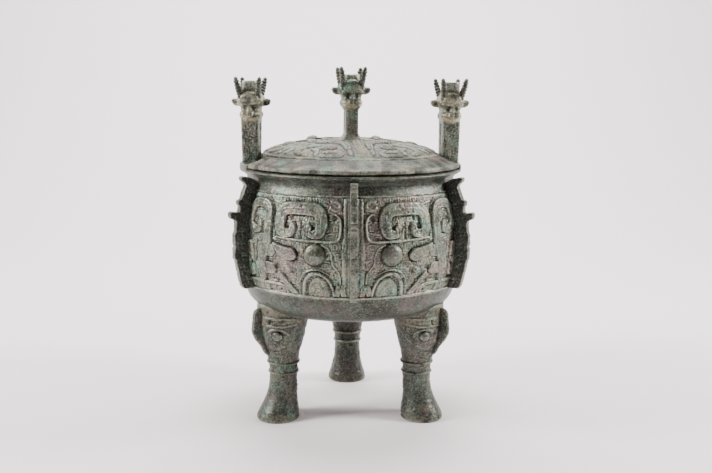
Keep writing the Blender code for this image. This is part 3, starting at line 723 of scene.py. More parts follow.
def mask_height(x, z, band):
    """Height of half a mask above the ground at arc x from its centre line and height z, in millimetres."""
    relief, depth = band.relief / MM, band.spiral_depth / MM
    h = -depth * leiwen(x, z - 113.6, band.spiral_pitch / MM)

    def stroke(path):
        return catmull([(a * BAND_ARC, zz, w) for a, zz, w in path])

    def paint(path, level, edge=0.6, lines=(), groove=0.14):
        nonlocal h
        s = within(stroke(path), x, z)
        cover = ease((s + 0.28) / edge)
        h = h - groove * ease((s + 1.1) / 0.6) * (1 - cover)
        value = level - 0.16 * ease(1 - s / 1.1)
        for at in lines:
            value = value - 0.34 * np.exp(-(((s - at) / 0.3) ** 2))
        h = h * (1 - cover) + value * cover

    def carve(path, depth, line=None):
        nonlocal h
        s = within(stroke(path) if line is None else line, x, z)
        h = h - depth * ease((s + 0.3) / 0.55)

    def dots(spots):
        nonlocal h
        for a, zz, radius, rise in spots:
            d = np.hypot(x - a * BAND_ARC, z - zz) / radius
            h = h + rise * np.exp(-(d**3))

    # Snout beside the centre flange, body blocks and paw ground
    paint(((2.6, 112, 4), (2.8, 150, 3.8), (2.6, 160, 3.4), (2.6, 186, 3.2)), 0.8, 0.8)
    paint(((41.5, 131.6, 4.6), (47.5, 131.6, 4.8)), 1.25)
    paint(((41.8, 145.6, 4.9), (47.5, 146, 5)), 1.2)
    paint(((56.8, 126.6, 3.9), (56.9, 146.6, 3.9)), 1.35)
    paint(((36.4, 127.6, 2.5), (32.4, 121, 2.6), (28.6, 114.4, 2.4)), 1.35)
    paint(((46, 115.8, 3.4), (58, 115.8, 3.4)), 0.45)
    paint(((35.8, 115.6, 3.0), (37.4, 115.8, 2.8)), 0.9)
    paint(((11.9, 113.4, 1.6), (13, 121.4, 2.4), (16.4, 124.6, 3.2), (19.8, 120.6, 2.4), (20.8, 113.4, 1.6)),
          0.5, 1.2)
    paint(((13.8, 113.6, 2.4), (16.4, 118, 4.2), (19, 113.6, 2.4)), 0.5, 1.2)

    # Ridge line under the horn, brow curls and jaw arch
    paint(((38.4, 156.2, 0.9), (30, 155.6, 0.85), (20, 155.2, 0.8), (10, 155.2, 0.8), (7, 156.6, 0.8),
           (5.9, 161, 0.8), (5.7, 168, 0.8), (6.3, 172, 0.9), (8.2, 174.6, 0.9)), 1.2, 0.6)
    paint(((10.8, 179.6, 1.2), (8, 178.2, 1.4), (6.0, 180.6, 1.4), (7.2, 184, 1.2), (10.4, 184.4, 1.0)), 0.45, 0.8)
    paint(((8.8, 112.6, 1.1), (9.6, 120, 1.1), (12, 127.2, 1.15), (16.2, 130.7, 1.2), (20.4, 129.4, 1.3),
           (23.2, 123, 1.3), (23.8, 112.6, 1.3)), 1.5, 0.8)
    paint(((4.2, 113.6, 1.8), (5.2, 119.4, 2.6), (6.8, 119.4, 2.6), (7.8, 113.6, 1.8)), 1.3, 0.8, (1.3,))
    paint(((60, 119.6, 1.15), (48, 119.8, 1.15), (37.4, 119.7, 1.15), (33.6, 118, 1.1), (32.4, 112.8, 1.0)),
          1.35, 0.7)

    # Ram's horn, tail, leaf ear
    paint(((21, 165.2, 2.2), (20.2, 160.6, 2.7), (16.1, 161.2, 3.9), (14.8, 168.5, 4.6), (16.8, 177.2, 4.8),
           (25.6, 178.7, 4.6), (34.4, 177.2, 4.7), (36.3, 168.5, 4.6), (35.1, 161.2, 3.8), (30.4, 160.5, 3.0),
           (29.1, 165.7, 2.4)), relief, 0.65, (1.2, 2.3, 3.5))
    paint(((47.9, 123.4, 3.2), (47.6, 132, 4.6), (47.2, 139, 4.6), (43.6, 152, 3.7), (43.4, 160, 3.6),
           (44.2, 175.6, 3.9), (47.6, 180.0, 3.6), (54.2, 179.6, 3.5), (57.2, 173, 3.1), (56.4, 163.4, 3.0),
           (52.6, 160.2, 3.2), (49.2, 161.6, 2.6), (49.4, 165.4, 2.0)), relief * 0.95, 0.65, (1.2, 2.4))
    paint(((39.6, 151.8, 0.4), (37.4, 148.8, 2.2), (34.4, 146, 3.9), (30.6, 144.4, 4.7), (29.6, 144.3, 4.6)),
          relief * 1.15, 0.6, (1.3,), 0.6)

    # Rounds, claws and knuckles
    dots(((31.5, 132.5, 2.7, 1.3), (31.6, 123.2, 1.2, 0.8)))
    for a in (45, 49, 53, 57):
        paint(((a, 113.6, 1.3), (a + 0.3, 117.0, 1.4)), 0.95, 0.5)
    for a in (34.4, 40, 49):
        paint(((a - 1.2, 122.4, 0.9), (a + 1.8, 122.3, 0.9)), 1.2, 0.5)

    # Folds round the eye and jaw, then the eye itself
    paint(((14.6, 152.6, 0.5), (11.6, 150.2, 0.6), (10.0, 145, 0.6), (9.4, 138.4, 0.6), (7.6, 134.4, 0.6),
           (6.1, 130, 0.6), (5.8, 122.4, 0.5)), 0.55, 0.7)
    paint(((17.4, 153.6, 0.4), (17.3, 157.2, 0.4)), 1.0, 0.5)
    paint(((26.2, 112.6, 0.5), (25.8, 123.4, 0.5), (22.6, 131.2, 0.55), (16.4, 133.6, 0.55), (11.2, 130.6, 0.5)),
          0.8, 0.7)
    paint(((27.2, 139.4, 0.4), (28.4, 134, 0.6), (27.6, 128.6, 0.5)), 0.9, 0.5)
    d = np.hypot(x - EYE_TURN * BAND_ARC, z - EYE_Z) / EYE_RADIUS
    h = np.where(d < 1.14, h - 0.25 * ease((1.14 - d) / 0.14), h)
    dome = band.eye_rise / MM * np.sqrt(np.clip(1 - d**2, 0, 1))
    h = np.where(d < 1, np.maximum(dome, h), h)

    # Grooves and pits
    carve(((2.6, 112, 0.2), (2.6, 160, 0.2), (2.6, 186, 0.2)), 0.5)
    carve(((4.4, 112, 0.2), (4.6, 150, 0.2), (4.2, 186, 0.2)), 0.5)
    for k in (0, 1.3):
        carve(((2.5 + k, 161.4, 0.15), (10 + k, 150.6, 0.15)), 0.55)
    carve(((44.6, 184.6, 0.5), (41.8, 180.6, 0.6), (40.3, 174, 0.7), (39.4, 164, 0.7), (38.8, 156.8, 0.6)), 1.0)
    carve(((51.9, 151, 1.0), (51.6, 142, 1.3), (51.2, 130, 1.3), (50.4, 123.4, 1.0)), 2.6)
    carve(((38.4, 138.5, 0.15), (50.6, 138.6, 0.15)), 1.2)
    carve(((53.8, 138.3, 0.15), (60, 138.2, 0.15)), 1.0)
    carve(((43.6, 123.8, 0.3), (43.4, 127.4, 0.4)), 1.6)
    carve(((29.8, 171.3, 0.7), (29.9, 172.9, 0.7), (25.4, 173.0, 0.25), (23.6, 172.4, 0.2)), 1.8)
    carve(((24.6, 156.6, 0.9), (24.8, 163, 0.8), (25.0, 169.6, 0.35)), 0.9)
    carve(((49.4, 157.6, 0.3), (46.6, 158.4, 0.4), (46.3, 164.4, 0.45)), 1.5)
    carve(None, 0.7, spiral_path(18.9 * BAND_ARC, 162.6, 3.5, 1.4, -0.6, 1))
    carve(None, 0.7, spiral_path(31.2 * BAND_ARC, 161.6, 3.2, 1.3, 2.6, -1))
    carve(None, 0.7, spiral_path(52.0 * BAND_ARC, 162.6, 3.3, 1.3, 2.6, -1))
    carve(None, 0.6, spiral_path(16.4 * BAND_ARC, 117.6, 2.7, 1.2, -0.6, 1))
    carve(((30.4, 144.6, 0.15), (36.4, 148.2, 0.15)), 0.5)
    dots(((37.7, 133.8, 2.0, -3.2), (28.4, 132.2, 2.0, -2.8), (56, 133.8, 1.8, -2.6), (8.6, 172.2, 1.8, -2.8),
          (53.6, 168.4, 1.8, -1.6), (29.9, 171.2, 1.5, -1.2), (36.4, 116, 1.2, -1.3)))
    return h


def build_band():
    """Three masks, each a closed shell from one side flange to the next over the sunk wall of the bowl."""
    band = bpy.context.scene.ding_band
    step = band.step / MM
    half = int(60 * BAND_ARC / step)
    az = np.linspace(0, 59.96, half + 1)
    ground = catmull([(z, r, 0) for z, r in BAND_GROUND], 8)
    rows = np.linspace(BAND_GROUND[0][0], BAND_GROUND[-1][0],
                       int((BAND_GROUND[-1][0] - BAND_GROUND[0][0]) / step) + 1)
    base = np.interp(rows, ground[:, 0], ground[:, 1])
    gz, ga = np.meshgrid(rows, az, indexing="ij")
    within_band = ease((gz - 113.4) / 0.6) * ease((186.6 - gz) / 0.6)
    relief = mask_height((ga * BAND_ARC).ravel(), gz.ravel(), band).reshape(gz.shape) * within_band
    relief = np.hstack([relief[:, :0:-1], relief])
    turns = np.concatenate([-az[:0:-1], az])
    back = np.linspace(59.96, -59.96, 33)
    made = []
    for k, mask in enumerate(MASKS):
        radius = base[:, None] + relief
        a = (turns + mask) * DEG
        rise = np.repeat(rows[:, None], len(turns), 1)
        outer = np.stack([radius * np.sin(a), -radius * np.cos(a), rise], 2)
        flat = outer.reshape(-1, 3)
        push = corrode(flat, band.corrosion / MM, 40 + 13 * k).reshape(radius.shape)
        fade = ease((rows - 110.6) / 1.2) * ease((188.7 - rows) / 1.2)
        grown = radius + push * (0.3 + 0.7 * fade[:, None])
        outer = np.stack([grown * np.sin(a), -grown * np.cos(a), rise], 2)
        b = (back + mask) * DEG
        sunk = np.repeat(base[:, None] - 2.0, len(back), 1)
        inner = np.stack([sunk * np.sin(b), -sunk * np.cos(b), np.repeat(rows[:, None], len(back), 1)], 2)
        ring = np.concatenate([outer, inner], 1)
        verts, faces = loft(ring)
        obj = mesh_object(("band_front", "band_right", "band_left")[k], verts * MM, faces)
        finish_mesh(obj, 75)
        co = points_of(obj) / MM
        off = np.abs(np.degrees(np.arctan2(co[:, 0], -co[:, 1])) - mask + 180) % 360 - 180
        # Darkening given: the eye's own darker patina, and painted shade down the slot beside each flange.
        eye = np.hypot((np.abs(off) - EYE_TURN) * BAND_ARC, co[:, 2] - EYE_Z) / EYE_RADIUS
        past = np.maximum(np.abs(co[:, 2] - SLOT_Z) - SLOT_HALF, 0)
        slot = np.hypot((np.abs(off) - SLOT_TURN) * BAND_ARC, past) / SLOT_WIDTH
        wear(obj, dark_patina_and_shade=np.maximum(0.35 * ease((1.05 - eye) / 0.2), ease((1.2 - slot) / 0.5)))
        # The band's finish is lighter than the plain bowl's: partly its own tone, partly painted light on its upright
        # faces.
        mat = finish_of("bronze_carved", 0.0, warmth=0.75, blue=0.65, earth=0.85, rubbing=0.55, shade=1.32)
        hand_over(obj, mat, "vessel")
        made.append(obj)
    return made


# Parts joined from simple solids and remeshed


def superellipse(w, d, power, count=32):
    t = np.linspace(0, 2 * math.pi, count, endpoint=False)
    c, s = np.cos(t), np.sin(t)
    e = 2 / power
    return np.stack([w * np.sign(c) * np.abs(c) ** e, d * np.sign(s) * np.abs(s) ** e], 1)


def stacked(levels, power=6.0):
    """A solid through rounded rectangles, each given as height, half width and half depth."""
    return loft([[(x, y, z) for x, y in superellipse(w, d, power)] for z, w, d in levels])


def ball(cx, cy, cz, rx, ry, rz):
    rings = []
    for k in range(1, 12):
        t = math.pi * k / 12
        rings.append([
            (cx + rx * math.sin(t) * math.cos(u), cy + ry * math.sin(t) * math.sin(u), cz - rz * math.cos(t))
            for u in np.linspace(0, 2 * math.pi, 16, endpoint=False)
        ])
    return loft(rings)


def slab(outline, thick, along="y"):
    """A plate of even thickness with an outline in x and z, or in the radius and z for a flange."""
    rings = []
    for s in (-thick / 2, thick / 2):
        rings.append([(p, s, z) if along == "y" else (s, -p, z) for p, z in outline])
    return loft(rings)


def remeshed(name, solids, step):
    """One closed mesh over the union of several solids, in millimetres."""
    verts, faces = joined(solids)
    obj = mesh_object(name, verts * MM, faces)
    turn_outward(obj, split=True)
    mod = obj.modifiers.new("Remesh", "REMESH")
    mod.mode = "VOXEL"
    mod.voxel_size = step
    mod.use_smooth_shade = True
    keep_result(obj, mod)
    return obj


def relaxed(obj, rounds, share=0.5):
    """Evens out the steps of a remeshed surface."""
    mesh = obj.data
    n = len(mesh.vertices)
    ends = np.empty(len(mesh.edges) * 2, np.int32)
    mesh.edges.foreach_get("vertices", ends)
    a, b = ends[0::2], ends[1::2]
    count = (np.bincount(a, minlength=n) + np.bincount(b, minlength=n))[:, None]
    co = points_of(obj)
    for k in range(rounds * 2):
        total = np.stack([np.bincount(a, co[b, i], n) + np.bincount(b, co[a, i], n) for i in range(3)], 1)
        co = co + (share if k % 2 == 0 else -share * 1.02) * (total / count - co)
    set_points(obj, co)


def build_flanges():
    cast = bpy.context.scene.ding_casting
    t = cast.flange_thickness / MM
    obj = remeshed("flanges", [slab(FLANGE, t, "x")], 0.68 * MM)
    relaxed(obj, 1)
    co = points_of(obj) / MM
    no = normals_of(obj)
    r, side, z = -co[:, 1], co[:, 0], co[:, 2]
    face = ease((np.abs(no[:, 0]) - 0.6) / 0.3)
    edge = np.interp(z, [111, 121, 135, 148, 162, 176, 192, 198], [98, 102, 104.6, 105.6, 104, 101, 95.6, 98])
    inner = edge - r
    hooks = np.zeros(len(co))
    for low, high in ((114, 121), (123.5, 130.5), (133, 140), (142.5, 149.5), (152, 159), (174, 180), (182.5, 188.5)):
        mid = (low + high) / 2
        bar = ease((0.9 - np.abs(z - mid)) / 0.6) * ease((inner - 2.2) / 0.8) * ease((9.4 - inner) / 0.8)
        leg = ease((0.9 - np.abs(inner - 4.4)) / 0.6) * ease(((high - low) / 2 - np.abs(z - mid)) / 0.6)
        hooks = np.maximum(hooks, np.maximum(bar, leg))
    rim = np.exp(-(((inner - 1.5) / 0.4) ** 2)) * ease((170 - z) / 3)
    cut = -0.5 * hooks * face - 0.3 * rim * face
    set_points(obj, (co + no * cut[:, None]) * MM)
    # The flanges' finish is dark: painted shade on their flat sides.
    mat = finish_of("bronze_flange", 0.4, warmth=0.4, blue=0.2, earth=0.2, rubbing=0.8, shade=0.36)
    run_tree(obj, group_of("Ring Repeat", repeat_tree), {"Count": 6, "Material": mat})
    corroded(obj, 0.26, 71)
    finish_mesh(obj, 80)
    # Painted light: the faces turned outward are made pale, by the way their normals face.
    flat = normals_of(obj)
    co = points_of(obj)
    out = (flat[:, 0] * co[:, 0] + flat[:, 1] * co[:, 1]) / np.hypot(co[:, 0], co[:, 1])
    wear(obj, 0.45, rub_and_light=0.75 * ease((out - 0.35) / 0.4))
    hand_over(obj, mat, "vessel")
    return obj


# Legs


def leg_height(deg, z, radius):
    """Relief of half a leg mask at an angle from its outward side."""
    x = deg * DEG * radius
    ground = ease((z - 51.5) / 1.5) * ease((87.5 - z) / 1) * ease((112 - deg) / 10)
    h = -0.3 * leiwen(x, z - 51.5, 1.9) * ground

    def paint(path, level, lines=()):
        nonlocal h
        line = catmull([(a * DEG * 20.5, zz, w) for a, zz, w in path])
        s = within(line, deg * DEG * 20.5, z)
        cover = ease((s + 0.3) / 0.7)
        h = h - 0.1 * ease((s + 1.2) / 0.7) * (1 - cover)
        value = 0.5 * level - 0.12 * ease(1 - s / 1.2)
        for at in lines:
            value = value - 0.3 * np.exp(-(((s - at) / 0.4) ** 2))
        h = h * (1 - cover) + value * cover

    def carve(path, depth, line=None):
        nonlocal h
        if line is None:
            line = catmull([(a * DEG * 20.5, zz, w) for a, zz, w in path])
        h = h - depth * ease((within(line, deg * DEG * 20.5, z) + 0.4) / 0.8)

    paint(((11, 81.2, 0.9), (27, 80.6, 0.9), (60, 80.9, 1.0), (92, 82.6, 1.0)), 1.7)
    paint(((14, 86.4, 0.8), (40, 86.6, 0.9), (70, 87, 0.9), (90, 86.2, 0.9)), 1.6)
    paint(((16, 83.8, 2.0), (23, 83.8, 2.2)), 1.2)
    paint(((38, 83.6, 1.7), (86, 84.4, 1.6)), 0.8)
    paint(((30, 76.2, 0.9), (44, 78.2, 1.1), (62, 77.6, 1.0), (76, 74.6, 0.8)), 1.5)
    paint(((14, 66, 2.0), (20, 70.4, 2.4), (17, 75.6, 1.8)), 1.1, (1.0,))
    paint(((26, 63, 1.4), (46, 61.4, 1.7), (66, 63.6, 1.3)), 1.0)
    paint(((14, 56.6, 2.2), (34, 55.6, 2.4), (52, 56.6, 2.0)), 1.0, (1.2,))
    paint(((84, 66, 2.0), (92, 72, 2.4), (88, 78, 1.8)), 0.9, (1.0,))
    d = np.hypot((deg - 50) * DEG * 20.5 / 1.15, z - 72.3) / 3.9
    h = np.where(d < 1.3, h - 0.5 * ease((1.3 - d) / 0.25), h)
    h = np.where(d < 1, np.maximum(h, 2.3 * np.sqrt(np.clip(1 - d**2.2, 0, 1))), h)
    carve(None, 0.8, spiral_path(19.5 * DEG * 20.5, 83.8, 1.9, 1.1, 0, 1, 0.25))
    carve(((31, 81.6, 0.4), (31.4, 86, 0.4)), 1.6)
    for k in range(12):
        a = 39 + 4.1 * k
        carve(((a, 82.4, 0.16), (a + 0.6, 85.4, 0.16)), 0.5)
    for zz in (53.4, 59.2, 65.4):
        carve(((12, zz, 0.2), (40, zz - 0.4, 0.2), (64, zz + 1.0, 0.2)), 0.35)
    return h


def bowl_under(r):
    pts = BOWL_OUT[:11]
    return np.interp(r, [p[0] for p in pts], [p[1] for p in pts])


def build_legs():
    cast = bpy.context.scene.ding_casting
    table = np.array(LEG, float)
    fine_z = np.linspace(0, 97, 195)
    fine = [np.interp(fine_z, table[:, 0], table[:, k]) for k in (1, 2, 3)]
    kernel = np.array([1, 2, 3, 2, 1]) / 9
    for k in range(3):
        soft = np.convolve(np.pad(fine[k], 2, "edge"), kernel, "valid")
        fine[k][6:] = soft[6:]
    count = 156
    u = np.linspace(0, 2 * math.pi, count, endpoint=False)
    deg = np.abs((np.degrees(u) + 180) % 360 - 180)
    steps = np.concatenate([[0, 0.5], np.linspace(1.1, 97, 128)]) / 97
    rings = []
    for t in steps:
        z = np.full(count, t * 97)
        for _ in range(3):
            c, wo, wt = (np.interp(z, fine_z, f) for f in fine)
            reach = np.hypot(c + wo * np.cos(u), wt * np.sin(u))
            z = t * np.minimum(bowl_under(reach) + 2.2, 97)
        flat = 1 - 0.12 * ease((deg - 128) / 40) * ease((z - 8) / 20) * ease((96 - z) / 20)
        channel = 0.9 * np.exp(-(((deg - 180) * DEG * wt / 3.2) ** 2)) * ease((z - 6) / 14)
        h = leg_height(deg, z, wt) - channel
        out = c + (wo * flat + h) * np.cos(u)
        side = (wt + h) * np.sin(u)
        rings.append(np.stack([side, -out, z], 1))
    verts = np.concatenate(rings)
    n = count
    faces = skin(len(rings), n)
    foot, top = len(verts), len(verts) + 1
    verts = np.vstack([verts, [0, -68.1, 0], [0, -62, rings[-1][:, 2].mean()]])
    faces += [(foot, (j + 1) % n, j) for j in range(n)]
    last = (len(rings) - 1) * n
    faces += [(top, last + j, last + (j + 1) % n) for j in range(n)]
    turn = np.array(Matrix.Rotation(60 * DEG, 3, "Z"))
    obj = mesh_object("legs", verts @ turn.T * MM, faces)
    # The legs' finish is darker than the bowl's: painted shade under the bowl, besides its own tone.
    mat = finish_of("bronze_legs", 0.9, warmth=0.7, blue=0.9, earth=0.5, rubbing=0.55, shade=0.56)
    run_tree(obj, group_of("Ring Repeat", repeat_tree), {"Count": 3, "Material": mat})
    finish_mesh(obj, 80)
    co = points_of(obj) / MM
    still = ease((co[:, 2] - 0.2) / 2.5)
    inner = ease((68 - np.hypot(co[:, 0], co[:, 1])) / 10)
    push = corrode(co, 0.34, 91) * (1 + 1.3 * inner)
    moved = co + normals_of(obj) * (push * still)[:, None]
    moved[:, 2] = np.maximum(moved[:, 2], 0)
    set_points(obj, moved * MM)
    tall = points_of(obj)[:, 2] / MM
    earthy = 0.75 * np.exp(-(((tall - 84) / 4.5) ** 2)) + 0.6 * ease((9 - tall) / 8) + 0.7 * ease((tall - 88.5) / 3)
    # Painted shade: the legs are darkened on their sides towards the axis, under the bowl.
    wear(obj, 0.45, dark_patina_and_shade=0.5 * ease((67 - np.hypot(moved[:, 0], moved[:, 1])) / 9), soil=0.7 * earthy)
    hand_over(obj, mat, "vessel")

    noses = remeshed("leg_noses", [slab(LEG_NOSE, 4.0, "x")], 0.72 * MM)
    relaxed(noses, 2)
    noses.data.transform(Matrix.Rotation(60 * DEG, 4, "Z"))
    run_tree(noses, group_of("Ring Repeat", repeat_tree), {"Count": 3, "Material": mat})
    corroded(noses, 0.26, 97)
    finish_mesh(noses, 80)
    wear(noses, 0.45)
    hand_over(noses, mat, "vessel")

    loops = []
    edges = []
    for az in LEGS:
        for z in (38.9, 47.2):
            c, wo, wt = (float(np.interp(z, fine_z, f)) for f in fine)
            first = len(loops)
            for v in np.linspace(0, 2 * math.pi, 64, endpoint=False):
                out, side = c + (wo + 0.25) * math.cos(v), (wt + 0.25) * math.sin(v)
                a = az * DEG
                loops.append((out * math.sin(a) + side * math.cos(a), side * math.sin(a) - out * math.cos(a), z))
            edges += [(first + j, first + (j + 1) % 64) for j in range(64)]
    rings = mesh_object("leg_rings", np.array(loops) * MM, [], edges)
    run_tree(rings, group_of("Bead Ring", ring_tree), {"Ring Radius": cast.ring_radius, "Material": mat})
    finish_mesh(rings, 80)
    co = points_of(rings) / MM
    set_points(rings, (co + normals_of(rings) * (0.12 * rough(co, 3.0, 9))[:, None]) * MM)
    wear(rings, 0.6, 2, rub_and_light=0.35, soil=0.4)
    hand_over(rings, mat, "vessel")
    return [obj, noses, rings]


# Beast heads


HEAD_LEVELS = (
    (-0.7, 6.4, 8.0), (1.4, 7.4, 8.8), (4.2, 8.1, 9.6), (6.0, 8.0, 9.8), (7.6, 7.9, 9.2), (9.0, 8.1, 8.6),
    (11.0, 8.6, 8.7), (12.4, 9.2, 9.9), (13.8, 9.7, 10.8), (16.0, 9.8, 11.0), (18.4, 9.2, 10.6), (20.8, 8.2, 9.8),
    (23.0, 7.3, 9.0), (25.0, 6.8, 8.5),
)
SIDE_EAR = (
    (6.0, 11.6), (10.2, 11.2), (12.8, 11.4), (14.9, 12.6), (15.9, 14.6), (15.8, 16.2), (14.4, 17.2), (12.2, 17.2),
    (9.4, 17.0), (6.0, 17.0),
)


def head_solids(crown):
    """Solids of a beast head facing both ways, in its own frame with the chin at height 0."""
    solids = [stacked(HEAD_LEVELS + ((crown - 0.9, 6.9, 8.4), (crown, 6.1, 7.7)), 3.4)]
    solids.append(slab(SIDE_EAR, 4.8))
    solids.append(slab([(-x, z) for x, z in SIDE_EAR], 4.8))
    for f in (-1, 1):
        solids.append(ball(0, f * 8.2, 9.6, 2.3, 2.8, 5.6))
        solids.append(ball(0, f * 9.6, 17.4, 7.6, 2.2, 5.6))
        solids.append(ball(0, f * 6.4, 4.4, 8.7, 5.5, 5.2))
        for s in (-1, 1):
            solids.append(ball(s * 7.6, f * 3.4, 15.4, 3.8, 5.6, 4.4))
            solids.append(ball(s * 4.7, f * 8.2, 10.0, 1.5, 1.2, 1.3))
            solids.append(ball(s * 4.6, f * 10.0, 13.6, 4.4, 1.7, 1.2))
            solids.append(ball(s * 3.6, f * 10.4, 5.2, 3.0, 1.7, 2.2))
    return solids


def head_height(x, y, z):
    """Carving of a head in its own frame: mouth, nostrils, eye sockets, brow lines, cap and ear hollows."""
    front = ease((np.abs(y) - 5.5) / 2)
    ax = np.abs(x)
    h = -0.9 * np.exp(-(((z - 1.8 - 0.05 * ax**1.8) / 0.42) ** 2)) * ease((8.4 - ax) / 1) * front
    h -= 1.0 * np.exp(-((np.hypot(ax - 2.4, z - 5.6) / 0.8) ** 2)) * front
    h -= 1.1 * np.exp(-(((ax - 4.9) / 2.3) ** 2) - ((z - 10.0) / 1.7) ** 2) * front
    h -= 0.4 * np.exp(-(((z - 15.0 - 0.5 * np.cos(ax * 1.1)) / 0.42) ** 2)) * ease((8.2 - ax) / 1) * front
    h -= 0.3 * np.exp(-(((z - 24.2 + 0.034 * ax**2) / 0.5) ** 2)) * front * ease((8 - ax) / 1)
    h -= 0.7 * np.exp(-(((ax - 12.6) / 2.1) ** 2) - ((z - 14.2 - 0.3 * (ax - 12)) / 1.3) ** 2) * ease(
        (np.abs(y) - 1.4) / 0.6)
    return h


def turned_in(co, cx, turn):
    """Row-frame points seen in the frame of a post at cx that is turned about its own axis."""
    a = turn * DEG
    x, y = co[:, 0] - cx, co[:, 1]
    return x * math.cos(a) + y * math.sin(a), y * math.cos(a) - x * math.sin(a)


def set_in_place(verts, cx, turn, lift):
    a = turn * DEG
    out = np.array(verts, float)
    x, y = out[:, 0].copy(), out[:, 1].copy()
    out[:, 0] = cx + x * math.cos(a) - y * math.sin(a)
    out[:, 1] = x * math.sin(a) + y * math.cos(a)
    out[:, 2] += lift
    return out


def build_post(name, cx, turn, chin, foot, size, crown, node, seed):
    """A post with its beast head; foot gives extra levels below the shaft, size its half widths and half depth."""
    cast = bpy.context.scene.ding_casting
    low, w_low, w_high, deep = size
    verts, faces = stacked(foot + ((low, w_low, deep), (chin + 3, w_high, deep)), 9.0)
    solids = [(set_in_place(verts, cx, turn, 0.0), faces)]
    solids += [(set_in_place(v, cx, turn, chin), f) for v, f in head_solids(crown)]
    obj = remeshed(name, solids, cast.grain)
    relaxed(obj, 2)
    co = points_of(obj) / MM
    no = normals_of(obj)
    x, y = turned_in(co, cx, turn)
    z = co[:, 2]
    a = turn * DEG
    nx = no[:, 0] * math.cos(a) + no[:, 1] * math.sin(a)
    ny = no[:, 1] * math.cos(a) - no[:, 0] * math.sin(a)
    shaft = ease((chin - 1.6 - z) / 1.0) * ease((z - low - 1.2) / 1.5)
    broad = ease((np.abs(ny) - 0.75) / 0.2) * shaft
    slim = ease((np.abs(nx) - 0.75) / 0.2) * shaft
    width = np.interp(z, [low, chin], [w_low, w_high])
    panel = ease((width - 1.7 - np.abs(x)) / 0.5)
    worn = 0.35 + 0.65 * noise(co / 6.0, seed)
    cut = -0.5 * leiwen(x + 3.2, z - low, 1.7, 2.0) * broad * panel * worn
    cut -= 0.45 * np.exp(-(((width - 1.25 - np.abs(x)) / 0.3) ** 2)) * broad
    cut -= 1.25 * ease((2.1 - np.abs(y)) / 0.5) * slim
    cut += head_height(x, y, z - chin) * ease((z - chin + 1.2) / 0.8)
    push = corrode(co, 0.24, seed)
    set_points(obj, (co + no * (cut + push)[:, None]) * MM)
    finish_mesh(obj, 80)
    co = points_of(obj) / MM
    x, y = turned_in(co, cx, turn)
    x = np.abs(x)
    above = co[:, 2] - chin
    front = ease((np.abs(y) - 6) / 2)
    lip = np.abs(above - 1.2 - 0.05 * x**1.8)
    muzzle = np.exp(-((np.maximum(lip - 1.4, 0) / 1.2) ** 2)) * front
    face = 0.4 * ease((above + 1) / 2) * ease((25 - above) / 3) * (1 if node == "vessel" else 0.3)
    # Painted shade in the eye sockets and the ear hollows.
    socket = np.exp(-(((x - 4.8) / 1.9) ** 2) - ((above - 10.0) / 1.6) ** 2) * front
    hollow = np.exp(-(((x - 12.4) / 1.9) ** 2) - ((above - 14.0) / 1.3) ** 2)
    wear(obj, 0.4, dark_patina_and_shade=np.maximum(0.7 * socket, 0.3 * hollow), rub_and_light=0.9 * ease((above - 24.5) / 2),
         soil=np.maximum(0.95 * muzzle, face))
    label = "bronze_post" if node == "vessel" else "bronze_knob"
    mat = finish_of(label, 1.3 + 0.1 * seed, warmth=0.5, blue=0.9, earth=0.5, rubbing=0.65, shade=1.36)
    hand_over(obj, mat, node)
    return obj


def build_horns(name, heads, node, seed):
    """Four ribbed horns for each head, given as its place, turn, chin, and horn foot and tip heights."""
    horn = bpy.context.scene.ding_horn
    verts = []
    edges = []
    for cx, turn, chin, low, high in heads:
        for s in (-1, 1):
            for f in (-1, 1):
                first = len(verts)
                for t in np.linspace(0, 1, 6):
                    lean = t + 0.25 * math.sin(math.pi * t)
                    p = [[s * (6.6 + 3.3 * t), f * (6.2 + 7.0 * lean), low + (high - low) * t]]
                    verts.append(set_in_place(p, cx, turn, chin)[0])
                edges += [(first + k, first + k + 1) for k in range(5)]
    obj = mesh_object(name, np.array(verts) * MM, [], edges)
    mat = finish_of("bronze_horn", 2.1, warmth=0.4, blue=0.2, earth=0.4, rubbing=0.8, shade=0.5)
    run_tree(obj, group_of("Ribbed Horn", horn_tree), {
        "Foot Radius": horn.foot, "Tip Radius": horn.tip, "Ribs": horn.ribs, "Rib Depth": horn.rib_depth,
        "Material": mat})
    finish_mesh(obj, 70)
    co = points_of(obj) / MM
    set_points(obj, (co + normals_of(obj) * (0.12 * rough(co, 1.8, seed))[:, None]) * MM)
    wear(obj, 0.07, 2, soil=0.15, level=0.07)
    hand_over(obj, mat, node)
    return obj


def key_solid(side):
    """The raised shelf of the rim under an ear post, which fills the lid's notch."""
    az = side * 90.0 + LID_TURN
    a = az * DEG
    half, inner, outer, low, high = 27.1, 71.7, 90.4, 200.2, KEY_TOP
    spread = math.degrees(math.asin(half / outer))
    rings = []
    for z, shrink in ((low, 0.5), (low + 0.6, 0.0), (high - 0.7, 0.0), (high - 0.2, 0.4), (high, 1.0)):
        ring = []
        for t in np.linspace(-1, 1, 33):
            b = (az + t * (spread - shrink / outer / DEG)) * DEG
            ring.append(((outer - shrink) * math.sin(b), -(outer - shrink) * math.cos(b), z))
        for s in np.linspace(1, -1, 25):
            r, q = inner + shrink, s * (half - shrink)
            ring.append((r * math.sin(a) + q * math.cos(a), q * math.sin(a) - r * math.cos(a), z))
        rings.append(ring)
    return loft(rings)


